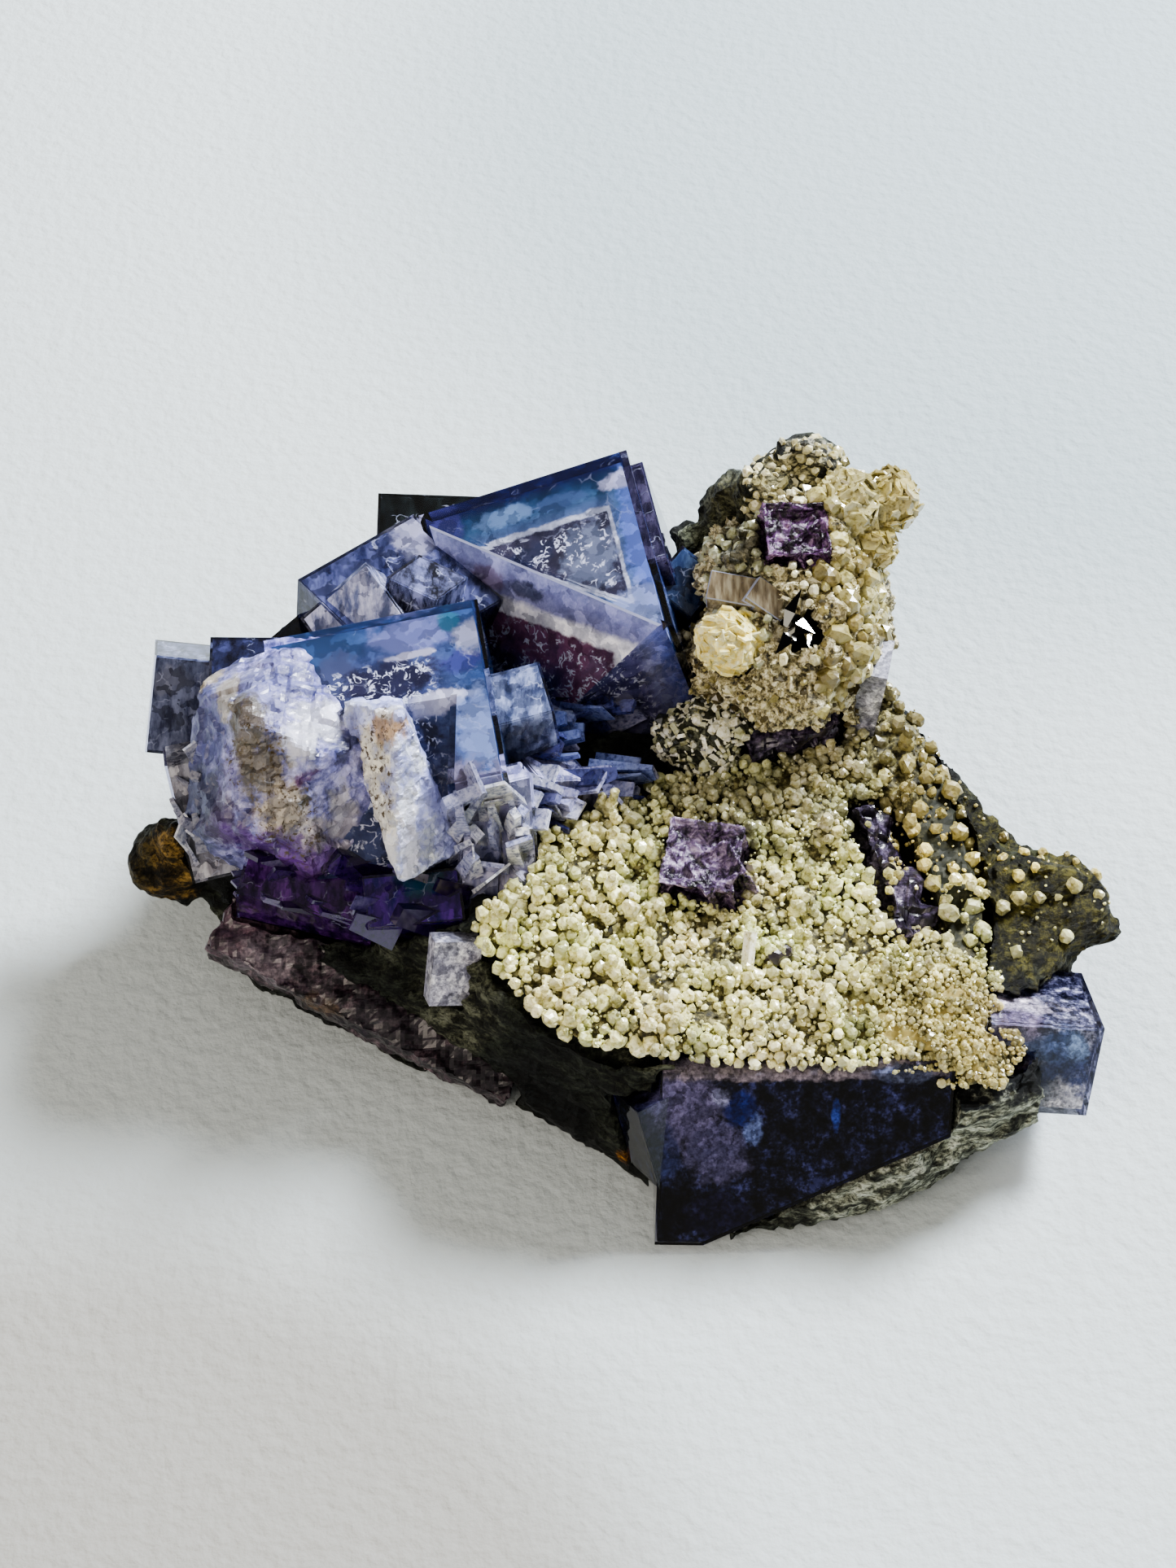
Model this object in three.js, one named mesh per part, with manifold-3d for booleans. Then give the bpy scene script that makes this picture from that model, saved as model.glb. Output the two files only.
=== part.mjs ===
// Phantom fluorite on matrix, in millimetres, +Z up.
// A broken slab of dark green rock lies flat on its worn underside. Blue and violet fluorite cubes grew
// together on its left end, smaller ones sit in its edges and in the druse, and a crust of tiny mica
// balls covers the slab and the front of the knob that stands at the back.
// The origin is on the resting face, below the middle of the specimen.
import * as THREE from 'three';
import { mergeVertices } from 'three/addons/utils/BufferGeometryUtils.js';
import Module from 'manifold-3d';

const wasm = await Module();
wasm.setup();

// Driving dimensions
const SLAB_CENTRE = [1, -2];
const SLAB_THICKNESS = 15;
const SLAB_SLOPE = [-0.06, 0.1];
const REST_OVAL = { centre: [2, -7], radii: [25, 22] };
const UNDERSIDE_RISE = 7;
const BIG_CUBE = 17.7;
const CRUST_THICKNESS = 1.5;
const CRUST_ROOT = 1;
const BALL_RADIUS = [0.85, 1.35];
const GRAIN_COUNT = 22;
const FIT_GAP = 0.3;
const FAR = 200;

// The slab's outline seen from above, anticlockwise from the front tip.
const SLAB_OUTLINE = [
  [2.6, -30.8], [11, -31.2], [16.5, -29.8], [21.2, -27.8], [25.6, -25.9], [30, -24.2], [32.6, -21.6],
  [32.8, -17], [34, -12.5], [36.4, -9.4], [35, -4.5], [30.4, 1.6], [27, 6], [24.6, 11], [22, 16],
  [17, 21], [8, 25], [-4, 27], [-17, 27], [-28, 20], [-32, 12], [-35, 2], [-33.4, -6], [-28, -9.6],
  [-21, -12.4], [-13.4, -16.6], [-8.2, -19.4], [-1.9, -23], [1.8, -26],
];

// The druse that the mica balls cover, seen from above.
const DRUSE_CENTRE = [11, -9];
const DRUSE_OUTLINE = [
  [-4.4, -21.6], [2.4, -22.2], [11.3, -23], [19.8, -22.8], [24.5, -24.6], [30.8, -23.6], [31.6, -21.8],
  [29.4, -19], [26.6, -16.5], [27.3, -13.8], [28.4, -7.5], [27.5, -3], [26.6, 1.5], [25.6, 5.2],
  [23.6, 9.8], [21.6, 14.1], [20, 16], [17.8, 9.2], [12.5, 6.6], [4.4, 3.6], [0.7, 1.5], [-4.4, -0.8],
  [-7.6, -5.5], [-12, -11], [-9.3, -15.7], [-6.8, -19.1],
];

// The hollow in the slab's left front, past an edge that faces along 'facing'.
const HOLLOW = { edge: [-9.3, -15.7], facing: [-0.76, -0.65], depth: 6, start: 0.5, end: 3.5 };

// How rough the rock and the crust are: the height of their bumps, and the distance between them.
const ROCK_BUMPS = { height: 0.5, spacing: 5, layer: 0 };
const EDGE_BUMPS = { height: 0.35, spacing: 4, layer: 9 };
const CRUST_BUMPS = { height: 0.3, spacing: 4, layer: 4 };

const COLOURS = {
  rock: '#3d4439',
  blueFluorite: '#5a6aa8',
  navyFluorite: '#232850',
  violetFluorite: '#6b5480',
  greyFluorite: '#4f4458',
  paleFluorite: '#aaa8be',
  mauveFluorite: '#57464f',
  mica: '#d9d5a4',
  rosette: '#e2d8a0',
  clearCrystal: '#a59a90',
  metal: '#c9c8c2',
};

// Numbers that look random but are the same in every run.
function scatter(a, b = 0, c = 0) {
  const wave = Math.sin(a * 127.1 + b * 311.7 + c * 74.7) * 43758.5453;
  return wave - Math.floor(wave);
}

// Smooth noise from -1 to 1, with one bump about every unit.
function noise(x, y, z) {
  const cell = [x, y, z].map(Math.floor);
  const [fx, fy, fz] = [x - cell[0], y - cell[1], z - cell[2]].map((t) => t * t * (3 - 2 * t));
  let sum = 0;
  for (const i of [0, 1]) {
    for (const j of [0, 1]) {
      for (const k of [0, 1]) {
        const weight = (i ? fx : 1 - fx) * (j ? fy : 1 - fy) * (k ? fz : 1 - fz);
        sum += weight * scatter(cell[0] + i, cell[1] + j, cell[2] + k);
      }
    }
  }
  return 2 * sum - 1;
}

// A closed geometry as a solid for joins and cuts, without the faces that shrink to nothing at a pole.
function solidOf(geometry) {
  const bare = geometry.clone();
  bare.deleteAttribute('normal');
  bare.deleteAttribute('uv');
  const merged = mergeVertices(bare, 1e-4);
  const corners = merged.index.array;
  const kept = [];
  for (let i = 0; i < corners.length; i += 3) {
    const [a, b, c] = corners.slice(i, i + 3);
    if (a !== b && b !== c && a !== c) kept.push(a, b, c);
  }
  const vertProperties = new Float32Array(merged.attributes.position.array);
  return new wasm.Manifold(new wasm.Mesh({ numProp: 3, vertProperties, triVerts: new Uint32Array(kept) }));
}

function geometryOf(solid) {
  const made = solid.getMesh();
  const places = new Float32Array(made.numVert * 3);
  for (let i = 0; i < made.numVert; i += 1) {
    const start = i * made.numProp;
    places.set(made.vertProperties.subarray(start, start + 3), i * 3);
  }
  const geometry = new THREE.BufferGeometry();
  geometry.setAttribute('position', new THREE.BufferAttribute(places, 3));
  geometry.setIndex(new THREE.BufferAttribute(made.triVerts, 1));
  geometry.computeVertexNormals();
  return geometry;
}

function joined(solids) {
  return solids.reduce((whole, next) => whole.add(next));
}

// Where something sits: its middle, and its turn about Z, then Y, then X, in degrees.
function placing({ centre, turn = [0, 0, 0] }) {
  const angles = turn.map((degrees) => THREE.MathUtils.degToRad(degrees));
  const spin = new THREE.Quaternion().setFromEuler(new THREE.Euler(...angles, 'XYZ'));
  return new THREE.Matrix4().compose(new THREE.Vector3(...centre), spin, new THREE.Vector3(1, 1, 1));
}

// A cube or block of crystal. The grown one is the socket that its neighbours leave for it.
function block(crystal, grow = 0) {
  const [width, depth, height] = crystal.size.map((side) => side + 2 * grow);
  return solidOf(new THREE.BoxGeometry(width, depth, height).applyMatrix4(placing(crystal)));
}

// The middle of something given in a crystal's own directions.
function inCrystal(crystal, offset) {
  return new THREE.Vector3(...offset).applyMatrix4(placing(crystal)).toArray();
}

// What is left of a solid on the inner side of a plane, given by a point on it and its outward normal.
function cutFlat(solid, point, normal, grow = 0) {
  const outward = new THREE.Vector3(...normal).normalize();
  const spin = new THREE.Quaternion().setFromUnitVectors(new THREE.Vector3(0, 0, 1), outward);
  const middle = new THREE.Vector3(...point).addScaledVector(outward, FAR / 2 + grow);
  const waste = new THREE.BoxGeometry(FAR, FAR, FAR);
  waste.applyMatrix4(new THREE.Matrix4().compose(middle, spin, new THREE.Vector3(1, 1, 1)));
  return solid.subtract(solidOf(waste));
}

// A knobbly lump: a ball of flat facets, stretched to its radii and roughened.
function lump({ centre, radii, turn, detail, rough, grain, seed = 0 }, grow = 0) {
  const geometry = mergeVertices(new THREE.IcosahedronGeometry(1, detail).deleteAttribute('uv'));
  const place = geometry.attributes.position;
  for (let i = 0; i < place.count; i += 1) {
    const way = new THREE.Vector3().fromBufferAttribute(place, i).normalize();
    const at = way.clone().multiplyScalar(Math.max(...radii) / grain);
    const swell = rough * noise(at.x + seed, at.y, at.z);
    place.setXYZ(i, ...radii.map((radius, axis) => way.getComponent(axis) * (radius + swell + grow)));
  }
  return solidOf(geometry.applyMatrix4(placing({ centre, turn })));
}

// How far the outline lies from a centre, in a direction.
function reach(outline, centre, angle) {
  const [cx, cy] = centre;
  const [ux, uy] = [Math.cos(angle), Math.sin(angle)];
  for (let i = 0; i < outline.length; i += 1) {
    const [ax, ay] = outline[i];
    const [bx, by] = outline[(i + 1) % outline.length];
    const [ex, ey] = [bx - ax, by - ay];
    const turn = ux * ey - uy * ex;
    const along = ((ax - cx) * ey - (ay - cy) * ex) / turn;
    const share = ((ax - cx) * uy - (ay - cy) * ux) / turn;
    if (along > 0 && share >= 0 && share <= 1) return along;
  }
  throw new Error('the outline does not go round its centre');
}

// A flat-lying solid between two height functions, turned from a profile of rings and then drawn out to
// its outline. Rings are shares of the way from the centre to the rim.
function sheetOfRock({ outline, centre, rings, rim, around, ragged }, topAt, undersideAt, grow = 0) {
  const below = rings.map((share) => new THREE.Vector2(share, -1));
  const edge = rim.map(([share, level]) => new THREE.Vector2(share, level));
  const above = rings.toReversed().map((share) => new THREE.Vector2(share, 1));
  const geometry = new THREE.LatheGeometry([...below, ...edge, ...above], around);
  const place = geometry.attributes.position;
  for (let i = 0; i < place.count; i += 1) {
    const [across, level, forward] = [place.getX(i), place.getY(i), place.getZ(i)];
    const angle = Math.atan2(-forward, across) + 1e-7;
    const share = Math.hypot(across, forward);
    const wobble = 1 + ragged * share * noise(6 * Math.cos(angle), 6 * Math.sin(angle), level);
    const out = share * (wobble * reach(outline, centre, angle) + grow);
    const [x, y] = [centre[0] + out * Math.cos(angle), centre[1] + out * Math.sin(angle)];
    const height = THREE.MathUtils.lerp(undersideAt(x, y), topAt(x, y), (level + 1) / 2);
    place.setXYZ(i, x, y, height);
  }
  return solidOf(geometry);
}

function bumps({ height, spacing, layer }, x, y) {
  return height * noise(x / spacing, y / spacing, layer);
}

function hollowDepth(x, y) {
  const [ex, ey] = HOLLOW.edge;
  const past = (x - ex) * HOLLOW.facing[0] + (y - ey) * HOLLOW.facing[1];
  return HOLLOW.depth * THREE.MathUtils.smoothstep(past, HOLLOW.start, HOLLOW.end);
}

// The slab's upper face: it slopes down to the right and to the front, and is rough.
function slabTop(x, y) {
  const plane = SLAB_THICKNESS + SLAB_SLOPE[0] * x + SLAB_SLOPE[1] * y;
  return plane - hollowDepth(x, y) + bumps(ROCK_BUMPS, x, y);
}

// The slab's underside: flat in the oval that it rests on, and rising to a broken edge outside it.
function slabUnderside(x, y) {
  const [cx, cy] = REST_OVAL.centre;
  const [rx, ry] = REST_OVAL.radii;
  const outside = Math.hypot((x - cx) / rx, (y - cy) / ry) - 1;
  return Math.max(0, UNDERSIDE_RISE * outside * (1 + bumps(EDGE_BUMPS, x, y)));
}

// The two big blue cubes of the left end. Each is a block with its own lean.
const highCube = { centre: [-4.6, 16.2, 19.2], size: [BIG_CUBE, BIG_CUBE, 17], turn: [9.4, -13.8, 11.5] };
const lowCube = { centre: [-17.8, 2.1, 18.6], size: [17, 16.8, 15.5], turn: [6, -6.6, 9] };

// Smaller crystals that grew together with them: behind and between the two, at the far left,
// the rods at their right foot and the purple ones along the foot.
const clusterBlocks = [
  { centre: inCrystal(highCube, [9.6, -0.9, 0.8]), size: [4.4, 4.4, 6], turn: [24, 8, 52] },
  { centre: [-18.6, 15.4, 18.2], size: [12, 11.4, 13], turn: [2, 6, 42] },
  { centre: [-20.4, 13.2, 22.2], size: [7, 6, 7], turn: [30, -20, 36] },
  { centre: [-16.6, 13.4, 22.6], size: [5, 4.6, 8.6], turn: [-16, 12, 62] },
  { centre: [-14.6, 23.8, 16.6], size: [12.4, 9, 11.4], turn: [3, 4, 1] },
  { centre: [-26.2, 11.6, 17], size: [6.4, 5, 9], turn: [0, 0, 51] },
  { centre: [-34.4, 8.4, 18.9], size: [7.2, 5, 8], turn: [-34, 8, 8] },
  { centre: [-29.6, 7.8, 18.8], size: [7, 6, 9.4], turn: [-6, 4, 4] },
  { centre: [-33.6, 0.6, 14.8], size: [4, 6, 10], turn: [-30, -10, 10] },
  { centre: [-8.4, 4.4, 20.4], size: [5.4, 5, 8], turn: [5, -6, 14] },
  { centre: [-6, 0.4, 16.6], size: [4.6, 3.6, 5], turn: [-22, 14, 28] },
  { centre: [-2.8, 1, 15.6], size: [7.6, 2.6, 3], turn: [-18, -12, 32] },
  { centre: [-11.4, -4.6, 17.8], size: [3.2, 3, 12.4], turn: [-20, 3, 10] },
  { centre: [-8.8, -4.4, 16.8], size: [3, 2.6, 12], turn: [-22, -3, 22] },
  { centre: [-8.2, -6.6, 14], size: [5, 2.4, 2.6], turn: [-14, 34, -30] },
  { centre: [-16.8, -8, 13.4], size: [7.6, 4.2, 4.4], turn: [24, 10, 8] },
  { centre: [-24.6, -6, 12.4], size: [11, 5, 6], turn: [20, 6, -12] },
];
const frostedMass = {
  centre: [-26.4, 1, 19.4],
  radii: [9.4, 9.2, 10.4],
  turn: [20, 0, 0],
  detail: 2,
  rough: 1,
  grain: 5,
  seed: 3,
};

// The mass has broad flat faces: the outward direction of each, and how far it lies from the middle.
const MASS_FACES = [
  [[-0.8, -0.35, 0.5], 7], [[-0.25, -0.75, 0.62], 7.3], [[0.35, 0.1, 0.93], 7.8],
  [[0.5, -0.8, 0.3], 7.2], [[-0.3, -0.93, -0.2], 7.6], [[-0.4, 0.3, 0.86], 8.2],
  [[-0.95, 0.2, -0.1], 7.2],
];

function facetedMass(grow = 0) {
  const middle = new THREE.Vector3(...frostedMass.centre);
  return MASS_FACES.reduce((solid, [normal, out]) => {
    const point = new THREE.Vector3(...normal).setLength(out).add(middle).toArray();
    return cutFlat(solid, point, normal, grow);
  }, lump(frostedMass, grow));
}

// The high cube, with the layer along its right side. Its front corner is missing along a flat
// cleavage, from its left corner to its right one.
const sideLayer = {
  centre: inCrystal(highCube, [5.8, 3, -0.7]),
  size: [8, 10, 16.4],
  turn: highCube.turn,
};
const highCubeLeftCorner = inCrystal(highCube, [-BIG_CUBE / 2, BIG_CUBE / 2, highCube.size[2] / 2]);
const CLEAVAGE_NORMAL = [-0.56, -0.7, 0.44];

function cleavedCube(grow = 0) {
  const whole = block(highCube, grow).add(block(sideLayer, grow));
  return cutFlat(whole, highCubeLeftCorner, CLEAVAGE_NORMAL, grow);
}

// The pointed crystal leans against the low cube. Slopes narrow it to its point and to its foot.
const pointedCrystal = { centre: [-17.2, -2.8, 20.8], size: [6.4, 6.4, 14], turn: [-38, 0, 43] };
const POINTED_FLANKS = [
  { point: [-21.4, 0.7, 23.7], normal: [-0.94, -0.26, -0.21] },
  { point: [-16.9, 2.2, 25], normal: [0.94, 0.26, 0.22] },
  { point: [-17.1, -8, 16.4], normal: [0.48, -0.67, -0.56] },
];

function leaningCrystal(grow = 0) {
  const whole = block(pointedCrystal, grow);
  return POINTED_FLANKS.reduce((solid, { point, normal }) => cutFlat(solid, point, normal, grow), whole);
}

// The low cube's left front corner is missing, and the pointed crystal stands there.
const missingCorner = { centre: [-22, -7, 24.2], size: [17, 10, 24], turn: [-40, 0, 0] };

function fluoriteCluster(grow = 0) {
  const chippedCube = block(lowCube, grow).subtract(block(missingCorner, -grow));
  const blocks = clusterBlocks.map((crystal) => block(crystal, grow));
  return joined([cleavedCube(grow), chippedCube, leaningCrystal(grow), ...blocks, facetedMass(grow)]);
}

// The navy block in the front edge leans back. Its top lies flat under the crust, and it is broken along a
// slope that runs up from its left foot.
const frontBlock = { centre: [13.2, -24, 5], size: [22, 6.4, 15.2], turn: [-33, 1.5, 1] };
const frontChip = { centre: [2.2, -24, 6.6], size: [4, 5, 7], turn: [-24, -14, 26] };
const FRONT_NORMAL = [0.02, -0.84, 0.54];
const BROKEN_SLOPE = { point: [8, -30, 1.4], normal: [0.42, -0.34, -0.84] };
const FRONT_TOP = [0, 0, 12.3];
const UP = [0, 0, 1];
const DOWN = [0, 0, -1];
const FLOOR_CLEARANCE = [0, 0, FIT_GAP];

function frontFluorite(grow = 0) {
  const whole = joined([frontBlock, frontChip].map((crystal) => block(crystal, grow)));
  const broken = cutFlat(whole, BROKEN_SLOPE.point, BROKEN_SLOPE.normal, grow);
  return cutFlat(cutFlat(broken, FRONT_TOP, UP, grow), FLOOR_CLEARANCE, DOWN, grow);
}

// Crystals that show one or two faces in the druse, on the knob and in the broken edges. Those of one
// name grew together.
const smallCrystals = [
  ['right_fluorite', COLOURS.navyFluorite, [
    { centre: [31, -16.6, 7.4], size: [9, 8.4, 7.8], turn: [-24, 6, 3] },
  ]],
  ['druse_fluorite', COLOURS.violetFluorite, [
    { centre: [6, -6.2, 15.8], size: [6, 5.8, 5], turn: [14, -6, -11] },
  ]],
  ['knob_fluorite', COLOURS.violetFluorite, [
    { centre: [13, 15, 30.4], size: [5.2, 4.6, 4.6], turn: [22, 6, 4] },
  ]],
  ['ledge_fluorite', COLOURS.greyFluorite, [
    { centre: [13.2, 6.2, 17.4], size: [8, 3, 3.6], turn: [20, -8, 20] },
  ]],
  ['upright_fluorite', COLOURS.paleFluorite, [
    { centre: [19.6, 9.2, 19.6], size: [2.2, 4, 7.6], turn: [4, 4, -12] },
  ]],
  ['furrow_fluorite', COLOURS.greyFluorite, [
    { centre: [20.6, -5.4, 12.6], size: [3.2, 12.4, 4], turn: [0, 22, 17] },
  ]],
  ['lilac_chip', COLOURS.paleFluorite, [
    { centre: [-13.4, -13, 11.8], size: [3.8, 2, 5.4], turn: [-30, 6, 16] },
  ]],
  ['clear_prisms', COLOURS.clearCrystal, [
    { centre: [8.6, 11.8, 27.6], size: [4.4, 2.4, 2.6], turn: [26, -4, -12] },
    { centre: [11, 10.6, 27.8], size: [3.4, 2.2, 2.4], turn: [26, 8, -34] },
  ]],
  ['metal_crystal', COLOURS.metal, [
    { centre: [13.6, 8, 27.6], size: [2, 2, 2], turn: [28, 32, 20] },
  ]],
];

// The mauve layer of fluorite along the left front edge.
const mauveBlock = { centre: [-20.4, -11.4, 5], size: [27, 5, 4.6], turn: [24, 3, -27.5] };
function mauveLayer() {
  return cutFlat(block(mauveBlock), FLOOR_CLEARANCE, DOWN).subtract(fluoriteCluster(FIT_GAP));
}

// The knob that stands on the back of the slab, its crown and its foot, the ledge at the slab's right
// end and the stone under its left end.
const knob = {
  centre: [13, 14.4, 21.4],
  radii: [7, 8.6, 9.6],
  turn: [-12, 15, 10],
  detail: 3,
  rough: 1.6,
  grain: 5,
};
const rockLumps = [
  { centre: [14.6, 22, 31.2], radii: [3.2, 2.9, 3.6], detail: 2, rough: 0.8, grain: 2.5, seed: 4 },
  { centre: [12.6, 20.6, 29.6], radii: [4.6, 3.3, 3.5], detail: 1, rough: 0.8, grain: 2.5, seed: 8 },
  { centre: [9, 23.4, 25.4], radii: [3, 3, 4], detail: 1, rough: 0.6, grain: 2, seed: 7 },
  { centre: [5.4, 21.6, 22.6], radii: [2, 2.2, 3], detail: 1, rough: 0.4, grain: 2, seed: 9 },
  { centre: [7, 6.2, 16.8], radii: [4.4, 3.4, 3.4], detail: 2, rough: 0.8, grain: 2, seed: 6 },
  { centre: [-36, 0.8, 8.2], radii: [4.6, 4, 3], turn: [24, -8, 0], detail: 1, rough: 0.8, grain: 3 },
  { centre: [33.2, -5.8, 11.2], radii: [6.4, 4.2, 2.6], turn: [6, 8, -32], detail: 2, rough: 0.9, grain: 3 },
];

const crustFloor = (x, y) => slabTop(x, y) - CRUST_ROOT;
const crustTop = (x, y) => slabTop(x, y) + CRUST_THICKNESS + bumps(CRUST_BUMPS, x, y);
const CRUST_SHEET = {
  outline: DRUSE_OUTLINE,
  centre: DRUSE_CENTRE,
  rings: [0, 0.28, 0.58, 0.86],
  around: 30,
  ragged: 0,
};
const CRUST_RIM = [[0.99, -0.4], [1, 0.4]];
const SLAB_SHEET = {
  outline: SLAB_OUTLINE,
  centre: SLAB_CENTRE,
  rings: [0, 0.3, 0.55, 0.76, 0.9],
  rim: [[0.97, -0.98], [1, -0.5], [0.98, 0.1], [0.97, 0.9]],
  around: 32,
  ragged: 0.03,
};

// The slab's front is flush with the navy block in it.
function matrixRock() {
  const pocket = sheetOfRock(
    { ...CRUST_SHEET, rim: [[1, -1], [1, 1]] },
    () => 2 * SLAB_THICKNESS,
    (x, y) => crustFloor(x, y) - FIT_GAP,
    FIT_GAP,
  );
  const slab = sheetOfRock(SLAB_SHEET, slabTop, slabUnderside).subtract(pocket);
  const flush = inCrystal(frontBlock, [0, FIT_GAP / 2 - frontBlock.size[1] / 2, 0]);
  return joined([cutFlat(slab, flush, FRONT_NORMAL), lump(knob), ...rockLumps.map((shape) => lump(shape))]);
}

// Mica balls as small facetted grains, spread evenly over the druse by the golden angle.
const GOLDEN_ANGLE = Math.PI * (3 - Math.sqrt(5));
const GRAIN_REACH = 0.9;
const GRAIN_LIFT = 0.2;
function grain(centre, index) {
  const radius = THREE.MathUtils.lerp(...BALL_RADIUS, scatter(index, 5));
  const turn = [90 * scatter(index, 1), 90 * scatter(index, 2), 90 * scatter(index, 3)];
  const shape = new THREE.IcosahedronGeometry(radius, 0);
  return solidOf(shape.applyMatrix4(placing({ centre, turn })));
}

// The crust is missing along a furrow where violet fluorite shows.
const furrow = { centre: [20.8, -5, 14.4], size: [4.6, 13.6, 5], turn: [0, 3, 17] };

function micaCrust() {
  const grains = [];
  for (let i = 0; i < GRAIN_COUNT; i += 1) {
    const share = GRAIN_REACH * Math.sqrt((i + 0.5) / GRAIN_COUNT);
    const angle = i * GOLDEN_ANGLE;
    const out = share * reach(DRUSE_OUTLINE, DRUSE_CENTRE, angle);
    const [x, y] = [DRUSE_CENTRE[0] + out * Math.cos(angle), DRUSE_CENTRE[1] + out * Math.sin(angle)];
    grains.push(grain([x, y, crustTop(x, y) + GRAIN_LIFT], i));
  }
  const carpet = sheetOfRock({ ...CRUST_SHEET, rim: CRUST_RIM }, crustTop, crustFloor);
  return joined([carpet, ...grains]).subtract(block(furrow));
}

// The knob's crust follows the knob where mica grew: on its front, its right side and its top.
const CRUST_BACK = { point: [13, 20, 22], normal: [-0.25, 0.9, -0.3] };
const CRUST_FOOT = { point: [13, 10, 18.6], normal: [-0.1, 0, -1] };

function knobCrust() {
  const shell = lump(knob, CRUST_THICKNESS).subtract(lump(knob, FIT_GAP));
  const front = cutFlat(shell, CRUST_BACK.point, CRUST_BACK.normal);
  return cutFlat(front, CRUST_FOOT.point, CRUST_FOOT.normal);
}

const rosettes = [
  ['mica_rosette', [
    { centre: [8, 8.2, 26], radii: [2.6, 2.3, 2.5], detail: 2, rough: 0.5, grain: 1.2, seed: 2 },
  ]],
  ['mica_rosette_pair', [
    { centre: [18.9, 17.4, 30.4], radii: [3.2, 3, 3], detail: 2, rough: 0.7, grain: 1.4, seed: 5 },
    { centre: [21.6, 18.2, 30.6], radii: [2.5, 2.5, 2.6], detail: 1, rough: 0.6, grain: 1.4, seed: 6 },
  ]],
];

// The biggest piece of a solid, without the crumbs that cuts leave loose.
function biggestPiece(solid) {
  return solid.decompose().reduce((kept, next) => (next.volume() > kept.volume() ? next : kept));
}

function named(name, solid, colour, roughness = 0.6, metalness = 0) {
  const material = new THREE.MeshStandardMaterial({ color: colour, roughness, metalness });
  const mesh = new THREE.Mesh(geometryOf(biggestPiece(solid)), material);
  mesh.name = name;
  return mesh;
}

const sockets = joined([
  fluoriteCluster(FIT_GAP),
  frontFluorite(FIT_GAP),
  block(mauveBlock, FIT_GAP),
  ...smallCrystals.flatMap(([, , crystals]) => crystals.map((crystal) => block(crystal, FIT_GAP))),
  ...rosettes.flatMap(([, lumps]) => lumps.map((shape) => lump(shape, FIT_GAP))),
]);
const lumpLimits = joined(rockLumps.map((shape) => lump(shape, FIT_GAP)));
const knobLimits = lumpLimits.add(lump(knob, CRUST_THICKNESS + FIT_GAP));

const specimen = new THREE.Group();
specimen.add(named('matrix_rock', matrixRock().subtract(sockets), COLOURS.rock, 0.8));
specimen.add(named('fluorite_cluster', fluoriteCluster(), COLOURS.blueFluorite, 0.1));
specimen.add(named('front_fluorite', frontFluorite(), COLOURS.navyFluorite, 0.1));
specimen.add(named('mauve_layer', mauveLayer(), COLOURS.mauveFluorite, 0.3));
specimen.add(named('mica_crust', micaCrust().subtract(sockets).subtract(knobLimits), COLOURS.mica));
specimen.add(named('knob_mica_crust', knobCrust().subtract(sockets).subtract(lumpLimits), COLOURS.mica));
for (const [name, colour, crystals] of smallCrystals) {
  const metalness = colour === COLOURS.metal ? 0.9 : 0;
  const grown = joined(crystals.map((crystal) => block(crystal)));
  specimen.add(named(name, grown, colour, 0.15, metalness));
}
for (const [name, lumps] of rosettes) {
  specimen.add(named(name, joined(lumps.map((shape) => lump(shape))), COLOURS.rosette));
}

export default specimen;
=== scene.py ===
# %% [markdown]
# # Phantom fluorite on rock, in Blender
#
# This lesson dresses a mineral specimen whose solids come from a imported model. Blue fluorite cubes with
# phantoms inside stand at the left end of a dark green slab, tiny mica balls cover the slab, and a knob
# with more mica stands at the back.

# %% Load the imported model
import math
import random

import bmesh
import bpy
from mathutils import Matrix, Vector, noise
from mathutils.bvhtree import BVHTree


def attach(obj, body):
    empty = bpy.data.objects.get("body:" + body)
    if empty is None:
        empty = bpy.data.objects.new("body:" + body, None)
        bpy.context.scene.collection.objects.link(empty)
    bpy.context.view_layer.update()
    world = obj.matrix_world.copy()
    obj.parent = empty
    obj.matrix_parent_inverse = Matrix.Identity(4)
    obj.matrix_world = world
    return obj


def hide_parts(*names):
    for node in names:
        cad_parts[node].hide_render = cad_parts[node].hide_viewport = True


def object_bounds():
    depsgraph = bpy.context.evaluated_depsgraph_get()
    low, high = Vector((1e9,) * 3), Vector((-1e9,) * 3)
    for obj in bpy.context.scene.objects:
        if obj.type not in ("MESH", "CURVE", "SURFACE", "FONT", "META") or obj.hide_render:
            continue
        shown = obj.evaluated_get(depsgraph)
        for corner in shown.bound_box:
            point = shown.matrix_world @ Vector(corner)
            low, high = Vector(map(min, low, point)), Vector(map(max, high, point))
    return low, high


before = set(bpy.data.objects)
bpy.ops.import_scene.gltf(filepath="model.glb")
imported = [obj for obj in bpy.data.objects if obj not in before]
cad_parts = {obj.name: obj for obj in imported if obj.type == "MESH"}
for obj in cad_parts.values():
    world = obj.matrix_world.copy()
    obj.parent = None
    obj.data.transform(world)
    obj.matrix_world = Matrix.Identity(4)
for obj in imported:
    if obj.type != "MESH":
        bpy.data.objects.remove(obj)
cad_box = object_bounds()
print("nodes:", ", ".join(sorted(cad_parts)))

# %% [markdown]
# A mineral's sizes are easiest to read in millimetres, but a Blender unit is a metre here, so one constant
# turns one into the other. A crystal is given by its middle, its edges and its turn about Z, then Y, then
# X, as in the solids, so a piece lands exactly where its solid is.

# %% Millimetres, places and colours
MM = 0.001
UP = Vector((0, 0, 1))
random.seed(7)


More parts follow.
